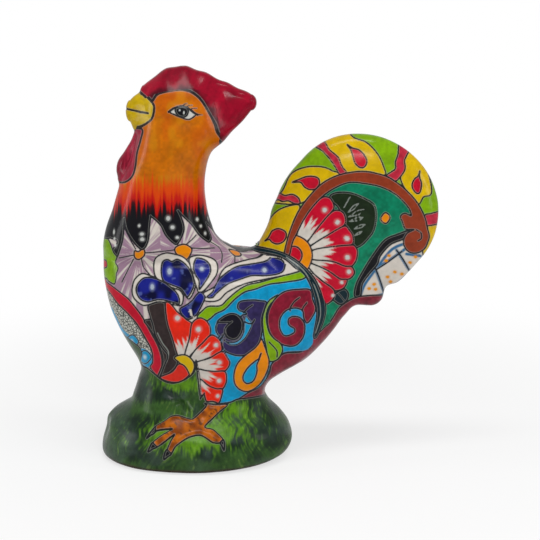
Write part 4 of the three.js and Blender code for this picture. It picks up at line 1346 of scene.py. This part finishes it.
def paint_joint(p):
    """The dark slip band over the joint of trunk and tail."""
    p.fill([
        (249, 246), (260, 247), (283, 253), (301.4, 264.4), (315.7, 280.7), (323, 302), (323.6, 316.4),
        (317, 335.6), (312.8, 336.4), (316, 316.4), (314.6, 302), (308.2, 283.6), (298, 270.7),
        (280, 256.6), (251.4, 250.6),
    ], lively(slate, 224, 0.35))
    p.stroke([(286, 257), (303, 270), (313, 287), (318.6, 303), (319.5, 317), (315, 333)], pale=True)


# %% [markdown]
# The tail's pattern ends at the slip band that hides the joint, and the trunk's begins there. Both skins
# get both patterns, parted along one line, so that nothing breaks where the skins meet in the fillet.

# %% Paint the trunk and the tail
joint = [
    (247, 236), (249, 248), (265, 252), (281, 256), (298, 267), (311, 284), (319, 303), (319.5, 317),
    (313, 336), (300, 352), (200, 352), (200, 236),
]
for p in (trunk, fan):
    paint_tail_field(p)
    paint_tail_underside(p)
    if p is fan:
        paint_tail_rim(p)
    behind = p.copied()
    paint_lilac_field(p)
    paint_neck(p)
    paint_breast(p)
    paint_flank(p)
    paint_cobalt_petals(p)
    paint_belly_flower(p)
    ahead_of_joint = measure(p.x, p.y, p.laid(joint, True, 3), True)[1]
    p.take(behind, ~ahead_of_joint & (p.x > 249) & (p.y < 352))
    paint_joint(p)
    print("painted", len(p.x), "points,", int((p.line < 0.7).sum()), "on lines")
paint_mound(trunk)
paint_foot(trunk)

# %% [markdown]
# The comb, the beak and the wattle are their own lumps of clay, but their paint runs over onto the head,
# so the same outlines are painted on all four skins. The eye is only drawn, with a heavy upper lid, and
# two white dabs in its iris are painted glints.

# %% Comb, beak, wattle and eye
comb_edge = [
    (219.8, 140), (215.4, 133), (213, 124.3), (207, 111.4), (200, 100.7), (191.4, 94.3), (181.4, 92.1),
    (168.6, 93.6), (158.6, 96.4), (153.4, 102),
]
beak_edge = [
    (140, 92.4), (147, 97), (153.6, 104.3), (154.3, 110), (151.4, 118.6), (145.7, 123.6), (137, 128.6),
    (131, 130),
]
wattle_edge = [
    (141.6, 129.4), (140, 140), (136.4, 153), (135, 165.7), (132, 175.7), (125.7, 181.6), (118, 182),
    (108, 176),
]
eye_outline = [
    (169, 111.8), (173.6, 108.3), (181.4, 106.2), (187.5, 108), (196, 114.3), (196, 114.3), (188.6, 119.5),
    (180, 117.2), (173.6, 114.5),
]
comb_line = curve(comb_edge, False)


def comb_paint(x, y):
    """Crimson glaze, streaked along the comb, with painted shade that darkens it nearly to black along the
    skull.
    """
    result = lively(brushed(tone(116, 3, 28), tone(164, 6, 40), 230, 20, (3.0, 9.0)), 232, 0.2)(x, y)
    # Painted shade: the crimson goes nearly black near the line where the comb meets the skull.
    away = measure(x, y, comb_line, False)[0] - 5 * grain(x / 5.0, y / 5.0, 234)
    return smooth_mix(result, tone(40, 8, 20), 0.8 * smoothstep(5.5, -1.0, away))


# %% [markdown]
# Each small part is flooded to well outside its outline in the picture, so that its far edges, its top
# and its underside get the same glaze. The mouth is one stroke, and the lashes are thin open strokes.

# %% Painting of the head's parts
def paint_head_parts(p):
    p.fill(comb_edge + [
        (150, 99), (146, 96.6), (140, 92.4), (128, 84), (150, 60), (200, 50), (280, 80), (275, 130),
        (230, 146),
    ], comb_paint, heavy=0.35)
    p.fill(beak_edge + [(110, 134), (104, 110), (112, 88), (134, 84)],
           lively(brushed(tone(172, 140, 2), tone(200, 170, 4), 236, 60, (2.2, 8.0)), 238, 0.15), heavy=0.4)
    p.stroke([(120, 107), (127.9, 109.3), (138, 111.4), (147.9, 113.3)], heavy=0.3)
    p.fill(wattle_edge + [(90, 165), (104, 136), (131, 130)],
           lively(brushed(tone(104, 6, 28), tone(172, 40, 66), 240, 4, (1.3, 12.0)), 242, 0.15), heavy=0.2)


def paint_eye(p):
    p.fill(eye_outline, tone(196, 194, 188), fine=4)
    p.fill([
        (175.4, 108.4), (182, 106.6), (187, 109), (187.6, 113), (184.5, 116.8), (178.5, 116), (175.2, 112),
    ], black_glaze, fine=4)
    # Painted glints: two small white dabs in the black iris.
    p.dab(183.4, 112.8, 0.9, 1.6, veil=0)
    p.dab(179.2, 110.4, 1.0, 0.9, veil=0)
    p.stroke([
        (168.4, 112), (173.6, 108.6), (181.4, 106.4), (187.5, 108.4), (193, 112.6), (197, 114.8),
    ], heavy=0.35)
    for lash in ([(182, 106.2), (184, 104.6), (186.5, 104)], [(184.5, 107.4), (188, 106), (191.4, 105.6)],
                 [(188.5, 109.8), (192, 108.6), (196, 108.4)], [(194, 113.4), (198, 114.6), (201.4, 115)]):
        p.stroke(lash, heavy=-0.25)


crest_paint, beak_coat, wattle_coat = (Painter(skins[name]) for name in ("comb", "beak", "wattle"))
crest_paint.colour[:] = comb_paint(crest_paint.x, crest_paint.y)
beak_coat.colour[:] = tone(188, 156, 2)
wattle_coat.colour[:] = tone(146, 18, 46)
for p in (trunk, crest_paint, beak_coat, wattle_coat):
    paint_head_parts(p)
paint_eye(trunk)

# %% [markdown]
# The feet stand in low relief, and the mound has sharp folds where the clay was pinched under the breast.
# Both follow lines on the picture, so the painter's distances shape the clay as well. A groove runs round
# the mound under the breast's hem, and a cut across the beak is its mouth.

# %% Relief of feet, folds and mouth
foot_relief, foot_round = 2.1, 5.5  # mm proud of the mound, pixels from a toe's edge to its full height
foot_path = trunk.laid(foot_outline)
near_foot = trunk.around(foot_path, 1.0)
away, inside = measure(trunk.x[near_foot], trunk.y[near_foot], foot_path, True)
on_foot = np.zeros(len(trunk.x), bool)
on_foot[near_foot] = inside
relief = np.zeros(len(trunk.x))
toward_edge = 1 - np.clip(away / foot_round, 0, 1)
relief[near_foot] = np.where(inside, foot_relief * np.sqrt(1 - toward_edge**2), 0)


def fold(p, points, width, rise, relief):
    """Adds a ridge, or a groove if rise is below 0, along a line of the picture."""
    path = p.laid(points, False)
    at = p.around(path, 3 * width)
    away = measure(p.x[at], p.y[at], path, False)[0]
    relief[at] += rise * np.exp(-((away / width) ** 2))


mound_folds = [  # line, width in pixels, rise in mm
    ([(166, 389), (174, 391), (184, 401), (190, 411)], 2.2, 1.5),
    ([(160, 390), (170, 396), (180, 406), (186, 411)], 3.5, -1.6),
    ([(168, 405), (178, 401), (186, 396)], 2.4, 1.0),
    (hem[1:26], 1.1, -0.5),
]
for line, width, rise in mound_folds:
    fold(trunk, line, width, rise, relief)
body.push(relief)

mouth = np.zeros(len(beak_coat.x))
fold(beak_coat, [(110, 105.5), (127.9, 109.3), (147.9, 113.3)], 1.0, -0.45, mouth)
skins["beak"].push(mouth)
print("feet stand proud by", round(float(relief.max()), 2), "mm")

# %% [markdown]
# A material is a little program of nodes. The class below lets it be written as a sum in Python: it
# wraps a socket, and each operator adds the node that works it out.

# %% Nodes written as Python
class Wire:
    """A socket that gives a number. Operators on it add Math nodes."""

    def __init__(self, shader, socket):
        self.shader, self.socket = shader, socket

    def math(self, operation, *others):
        sockets = dict(enumerate((self, *others)))
        return self.shader.add("ShaderNodeMath", {"operation": operation}, sockets).wire(0)

    def __add__(self, other):
        return self.math("ADD", other)

    def __sub__(self, other):
        return self.math("SUBTRACT", other)

    def __mul__(self, other):
        return self.math("MULTIPLY", other)

    def __rsub__(self, other):
        return (self * -1.0).math("ADD", other)

    __radd__, __rmul__ = __add__, __mul__

    def step(self, low, high):
        """0 at low, 1 at high, and an S-shaped way between."""
        settings = {"interpolation_type": "SMOOTHSTEP"}
        sockets = {"Value": self, "From Min": low, "From Max": high}
        return self.shader.add("ShaderNodeMapRange", settings, sockets).wire("Result")


# %% [markdown]
# A shader owns the nodes of one material or of the world. Its add call makes a node, sets its values
# straight on the sockets, and links the sockets that are worked out by other nodes.

# %% Shaders
class Node:
    """A node of a shader. A wire is one of its outputs."""

    def __init__(self, shader, node):
        self.shader, self.node = shader, node

    def wire(self, name):
        return Wire(self.shader, self.node.outputs[name])


class Shader:
    """A material or a world, and its nodes."""

    def __init__(self, owner):
        owner.use_nodes = True
        self.tree = owner.node_tree
        self.tree.nodes.clear()

    def add(self, kind, settings=None, sockets=None):
        """One node of a kind: its settings first, then a value or a link for each named socket."""
        node = self.tree.nodes.new(kind)
        for name, value in (settings or {}).items():
            setattr(node, name, value)
        for name, value in (sockets or {}).items():
            if isinstance(value, Wire):
                self.tree.links.new(value.socket, node.inputs[name])
            else:
                node.inputs[name].default_value = value
        return Node(self, node)

    def attribute(self, name, output="Fac"):
        return self.add("ShaderNodeAttribute", {"attribute_name": name}).wire(output)

    def noise(self, place, scale, detail=3.0):
        sockets = {"Vector": place, "Scale": scale, "Detail": detail}
        return self.add("ShaderNodeTexNoise", None, sockets).wire("Fac")

    def blend(self, share, first, second, kind="MIX"):
        """Two colours mixed: the second one by the share."""
        settings = {"data_type": "RGBA", "blend_type": kind}
        return self.add("ShaderNodeMix", settings, {0: share, 6: first, 7: second}).wire(2)

    def coat(self, colour, rough, height, strength=1.0, **gloss):
        """The surface that each clay or glaze ends with: a rough or glossy skin over a bumpy height in m."""
        bump = self.add("ShaderNodeBump", None, {"Strength": strength, "Distance": 1.0, "Height": height})
        sockets = {"Base Color": colour, "Roughness": rough, "Normal": bump.wire("Normal"), **gloss}
        surface = self.add("ShaderNodeBsdfPrincipled", None, sockets).wire("BSDF")
        self.add("ShaderNodeOutputMaterial", None, {"Surface": surface})


def solid(colour):
    return (*map(float, colour), 1.0)


# %% [markdown]
# Painted and clear-glazed earthenware. The colour comes from the points and is broken up by a fine wash.
# The drawn line has a thin pale border on both sides, where the glazes draw back from it. The surface is
# smooth enough for sharp highlights, and slow bumps in it bend them, as on a hand-pressed wall.

# %% Glazed earthenware
line_half = 0.68  # pixels from the middle of a drawn line to its edge
border = 1.12  # pixels to the outer edge of the pale border
speck_scale, patch_scale, wobble_scale, net_scale = 1100.0, 160.0, 700.0, 440.0  # cells to a metre
dent_scale, pit_scale = 55.0, 420.0
dent_depth, pit_depth, line_depth = 0.0004, 0.00002, 0.00003  # m
clay_scale, grog_scale = 45.0, 900.0
clay_depth, grog_depth = 0.0003, 0.00008  # m


def glazed(name, wash=0.16, rough=0.14, ripple=1.0):
    material = bpy.data.materials.new(name)
    s = Shader(material)
    place = s.add("ShaderNodeTexCoord").wire("Object")
    speck, patch = s.noise(place, speck_scale), s.noise(place, patch_scale, 4.0)
    line = s.attribute("ink") + (s.noise(place, wobble_scale) - 0.5) * 0.5
    core = 1.0 - line.step(line_half - 0.14, line_half + 0.16)
    rim = (1.0 - line.step(border - 0.1, border + 0.3)) * (0.35 + 0.5 * patch)
    shade = 1.0 + (speck - 0.5) * wash + (patch - 0.5) * wash
    tint = s.add("ShaderNodeCombineColor", None, {0: shade, 1: shade, 2: shade}).wire(0)
    washed = s.blend(1.0, s.attribute("paint", "Color"), tint, "MULTIPLY")
    meshes = {"Vector": place, "Scale": net_scale}
    net_cells = s.add("ShaderNodeTexVoronoi", {"feature": "DISTANCE_TO_EDGE"}, meshes)
    cord = s.attribute("net") * (1.0 - net_cells.wire("Distance").step(0.05, 0.17))
    netted = s.blend(cord * 0.9, washed, solid(tone(34, 40, 40)))
    thin = 1.0 - (s.attribute("pale") + (speck - 0.5) * 0.3).step(0.42, 0.76)
    scratched = s.blend(thin * 0.8, netted, solid(tone(132, 138, 132)))
    bordered = s.blend(rim * 0.7, scratched, solid(tone(140, 140, 134)))
    colour = s.blend(core * 0.95, bordered, solid(tone(18, 21, 27)))
    waves = s.noise(place, dent_scale, 2.0) * dent_depth + s.noise(place, pit_scale, 2.0) * pit_depth
    gloss = {"IOR": 1.45, "Specular IOR Level": 0.14}
    s.coat(colour, rough + 0.1 * speck, waves + core * -line_depth, ripple, **gloss)
    return material


def clay(name):
    """Bare fired clay: terracotta with grog specks and a rough, matt face."""
    material = bpy.data.materials.new(name)
    s = Shader(material)
    place = s.add("ShaderNodeTexCoord").wire("Object")
    patch, grog = s.noise(place, clay_scale, 4.0), s.noise(place, grog_scale, 2.0)
    red = s.blend(patch, solid(tone(160, 92, 60)), solid(tone(188, 118, 80)))
    colour = s.blend(grog.step(0.6, 0.75) * 0.5, red, solid(tone(116, 68, 48)))
    s.coat(colour, 0.82 + 0.12 * grog, grog * grog_depth + patch * clay_depth)
    return material


finishes = {
    "trunk_glaze": glazed("painted trunk glaze"),
    "tail_glaze": glazed("painted tail glaze", wash=0.14),
    "grass_glaze": glazed("grass glaze", wash=0.5, rough=0.2, ripple=1.3),
    "leg_glaze": glazed("leg glaze", wash=0.5, rough=0.18),
    "crimson_glaze": glazed("crimson glaze", wash=0.3),
    "yellow_glaze": glazed("yellow glaze", wash=0.2),
}
bare_clay = clay("bare terracotta")
print(len(finishes) + 1, "finishes")

# %% [markdown]
# The skins are now cut into the pottery's own pieces. A cut follows the grid, so two neighbours share
# their edge points and their normals there, and no seam shows where the potter wiped it smooth.

# %% Pieces of the bird
skin_room = 0.0001  # m kept free inside the CAD box


def make_piece(name, skin, painter, faces, finish, nodes):
    """A mesh from some faces of a skin, with its paint, line distances and net on its points."""
    used, index = np.unique(faces, return_inverse=True)
    points = (skin.points[used] + upright_shift) * MM
    points = np.clip(points, cad_low + skin_room * (cad_low != 0) * (1, 1, 0), cad_high - skin_room)
    mesh = bpy.data.meshes.new(name)
    mesh.vertices.add(len(used))
    mesh.vertices.foreach_set("co", points.ravel())
    mesh.loops.add(faces.size)
    mesh.loops.foreach_set("vertex_index", index.ravel().astype(np.int32))
    mesh.polygons.add(len(faces))
    mesh.polygons.foreach_set("loop_start", np.arange(0, faces.size, 3, dtype=np.int32))
    mesh.polygons.foreach_set("use_smooth", np.ones(len(faces), bool))
    mesh.update(calc_edges=True)
    if painter is not None:
        rgba = np.concatenate([np.clip(painter.colour[used], 0, 1), np.ones((len(used), 1))], 1)
        mesh.attributes.new("paint", "FLOAT_COLOR", "POINT").data.foreach_set("color", rgba.ravel())
        for layer, values in (("ink", painter.line), ("pale", painter.pale), ("net", painter.net)):
            mesh.attributes.new(layer, "FLOAT", "POINT").data.foreach_set("value", values[used])
    normals = skin.normals[used] + skin.lean[used]
    mesh.normals_split_custom_set_from_vertices(normals / np.linalg.norm(normals, axis=1)[:, None])
    mesh.materials.append(finishes[finish] if finish else bare_clay)
    piece = bpy.data.objects.new(name, mesh)
    bpy.context.collection.objects.link(piece)
    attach(piece, "root")
    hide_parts(*nodes)
    print(name, len(faces), "triangles")


# %% [markdown]
# The mound meets the trunk at the waist, in the same slanting plane as in the solid model. The trunk is
# also cut across into belly, neck and head, to keep each piece light, and down the mould seam.

# %% Cut the trunk, the mound and the feet
seam_height = waist + 2.0
seam_fall = math.tan(math.radians(13.7))
neck_height, head_height = 172.0, 252.0

centres = body.base[body.faces].mean(1)
above_seam = centres[:, 2] > seam_height - seam_fall * centres[:, 0]
left = centres[:, 1] < 0
foot_faces = on_foot[body.faces].all(1) & ~above_seam
band = np.digitize(centres[:, 2], (neck_height, head_height))
make_piece("grassy_mound", body, trunk, body.faces[~above_seam & ~foot_faces], "grass_glaze", ["mound"])
for side, mine in (("left", left), ("right", ~left)):
    make_piece("foot_" + side, body, trunk, body.faces[foot_faces & mine], "leg_glaze", ["leg_" + side])
    for number, part in enumerate(("belly", "neck", "head")):
        faces = body.faces[above_seam & mine & (band == number)]
        make_piece(part + "_" + side, body, trunk, faces, "trunk_glaze", ["trunk_" + side])

# %% [markdown]
# The tail is pressed in two mould halves like the trunk. The comb, the beak and the wattle are one each.

# %% Cut the tail and add the small parts
tail_skin = skins["tail"]
left = tail_skin.base[tail_skin.faces].mean(1)[:, 1] < 0
for side, mine in (("left", left), ("right", ~left)):
    make_piece("fan_" + side, tail_skin, fan, tail_skin.faces[mine], "tail_glaze", ["tail_" + side])
for name, painter, node, finish in (
    ("crest", crest_paint, "comb", "crimson_glaze"),
    ("bill", beak_coat, "beak", "yellow_glaze"),
    ("wattle_drop", wattle_coat, "wattle", "crimson_glaze"),
):
    make_piece(name, skins[node], painter, skins[node].faces, finish, [node])

# %% [markdown]
# Underneath, the foot is open, and bare clay shows: the ring that the bird stood on in the kiln, and the
# lining of the hollow. The lining is the trunk's form with every reach a wall thickness smaller, and one
# more ring joins it to the skin's rolled edge. Its faces look inwards.

# %% Bare lining
wall, lining_step, lining_around = 5.5, 2.5, 240
rings = upright.rings(lining_step)
inner = upright.skin(rings, lining_around, wall)
inner[:, :, 2] = np.minimum(inner[:, :, 2], upright.length + upright.end - wall)
foot_edge = upright.skin([part[:1] for part in rings], lining_around, foot_roll)
rings = [np.concatenate([part[:1], part]) for part in rings]
lining = Skin(upright, rings, np.concatenate([foot_edge, inner]))
lining.faces = lining.faces[:, ::-1]
lining.normals = lining.outward()
make_piece("bare_lining", lining, None, lining.faces, None, ["mound", "trunk_left", "trunk_right"])

# %% [markdown]
# The studio is plain: a white paper floor that keeps a soft shadow near the bird and shines white farther
# out, as the cleared background of the photograph does. The white beyond it is the world's own colour.

# %% Floor
floor_mesh = bpy.data.meshes.new("floor")
floor_reach, floor_drop, corners = 6.0, 0.0002, 96  # m, m, number
shadow_near, shadow_far = 0.2, 0.6  # m from the middle, between which the shadow fades out
least_white = 0.65  # share of plain white even where the shadow is kept
ring = np.linspace(0, 2 * math.pi, corners, endpoint=False)
floor_points = [(floor_reach * math.cos(a), floor_reach * math.sin(a), -floor_drop) for a in ring]
floor_mesh.from_pydata(floor_points, [], [list(range(corners))])
floor = bpy.data.objects.new("floor", floor_mesh)
bpy.context.collection.objects.link(floor)
paper = bpy.data.materials.new("white paper")
s = Shader(paper)
place = s.add("ShaderNodeTexCoord").wire("Object")
away = s.add("ShaderNodeVectorMath", {"operation": "LENGTH"}, {0: place}).wire("Value")
rays = s.add("ShaderNodeLightPath")
matt = s.add("ShaderNodeBsdfDiffuse", None, {"Color": (0.93, 0.93, 0.93, 1)}).wire("BSDF")
bright = s.add("ShaderNodeEmission", None, {"Color": (1, 1, 1, 1), "Strength": 1.0}).wire("Emission")
white = away.step(shadow_near, shadow_far) * (1.0 - least_white) + least_white
share = white * rays.wire("Is Camera Ray")
surface = s.add("ShaderNodeMixShader", None, {0: share, 1: matt, 2: bright}).wire(0)
s.add("ShaderNodeOutputMaterial", None, {"Surface": surface})
floor_mesh.materials.append(paper)
floor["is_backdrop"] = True

# %% [markdown]
# Four softboxes give the glaze its highlights: one overhead, a tall window at each side, the left one
# stronger, and a flat wide one in front. The white world is dimmed where it lights the clay, and less so
# where the glaze mirrors it. At full strength it would veil the dark glazes.

# %% Lamps and world
def lamp(name, place, aim, wide, high, power):
    """A softbox: an area lamp that faces its aim. Sizes are metres, power is watts."""
    light = bpy.data.lights.new(name, "AREA")
    light.shape, light.size, light.size_y, light.energy = "RECTANGLE", wide, high, power
    item = bpy.data.objects.new(name, light)
    toward = np.array(aim) - np.array(place)
    item.location = place
    item.rotation_euler = (
        math.atan2(math.hypot(toward[0], toward[1]), -toward[2]), 0.0, math.atan2(-toward[0], toward[1]))
    bpy.context.collection.objects.link(item)


bird_middle = (0.0, 0.0, 0.16)
lamp("overhead", (0.0, -0.35, 1.5), bird_middle, 1.0, 0.22, 8.4)
lamp("left window", (-1.45, -0.15, 0.35), bird_middle, 0.3, 0.9, 5.0)
lamp("front fill", (0.2, -1.25, 0.9), bird_middle, 0.5, 0.12, 5.0)
lamp("right window", (1.3, -0.5, 0.5), bird_middle, 0.2, 0.8, 3.6)

world = bpy.data.worlds.new("studio")
bpy.context.scene.world = world
s = Shader(world)
rays = s.add("ShaderNodeLightPath")
dim, mirrored = 0.38, 0.58  # strength of the white on lit clay, and as the glaze reflects it
direct = rays.wire("Is Camera Ray") + rays.wire("Is Glossy Ray") * ((mirrored - dim) / (1.0 - dim))
strength = dim + direct * (1.0 - dim)
sky_light = s.add("ShaderNodeBackground", None, {"Color": (1, 1, 1, 1), "Strength": strength}).wire(0)
s.add("ShaderNodeOutputWorld", None, {"Surface": sky_light})
bpy.context.scene.view_settings.view_transform = "Standard"
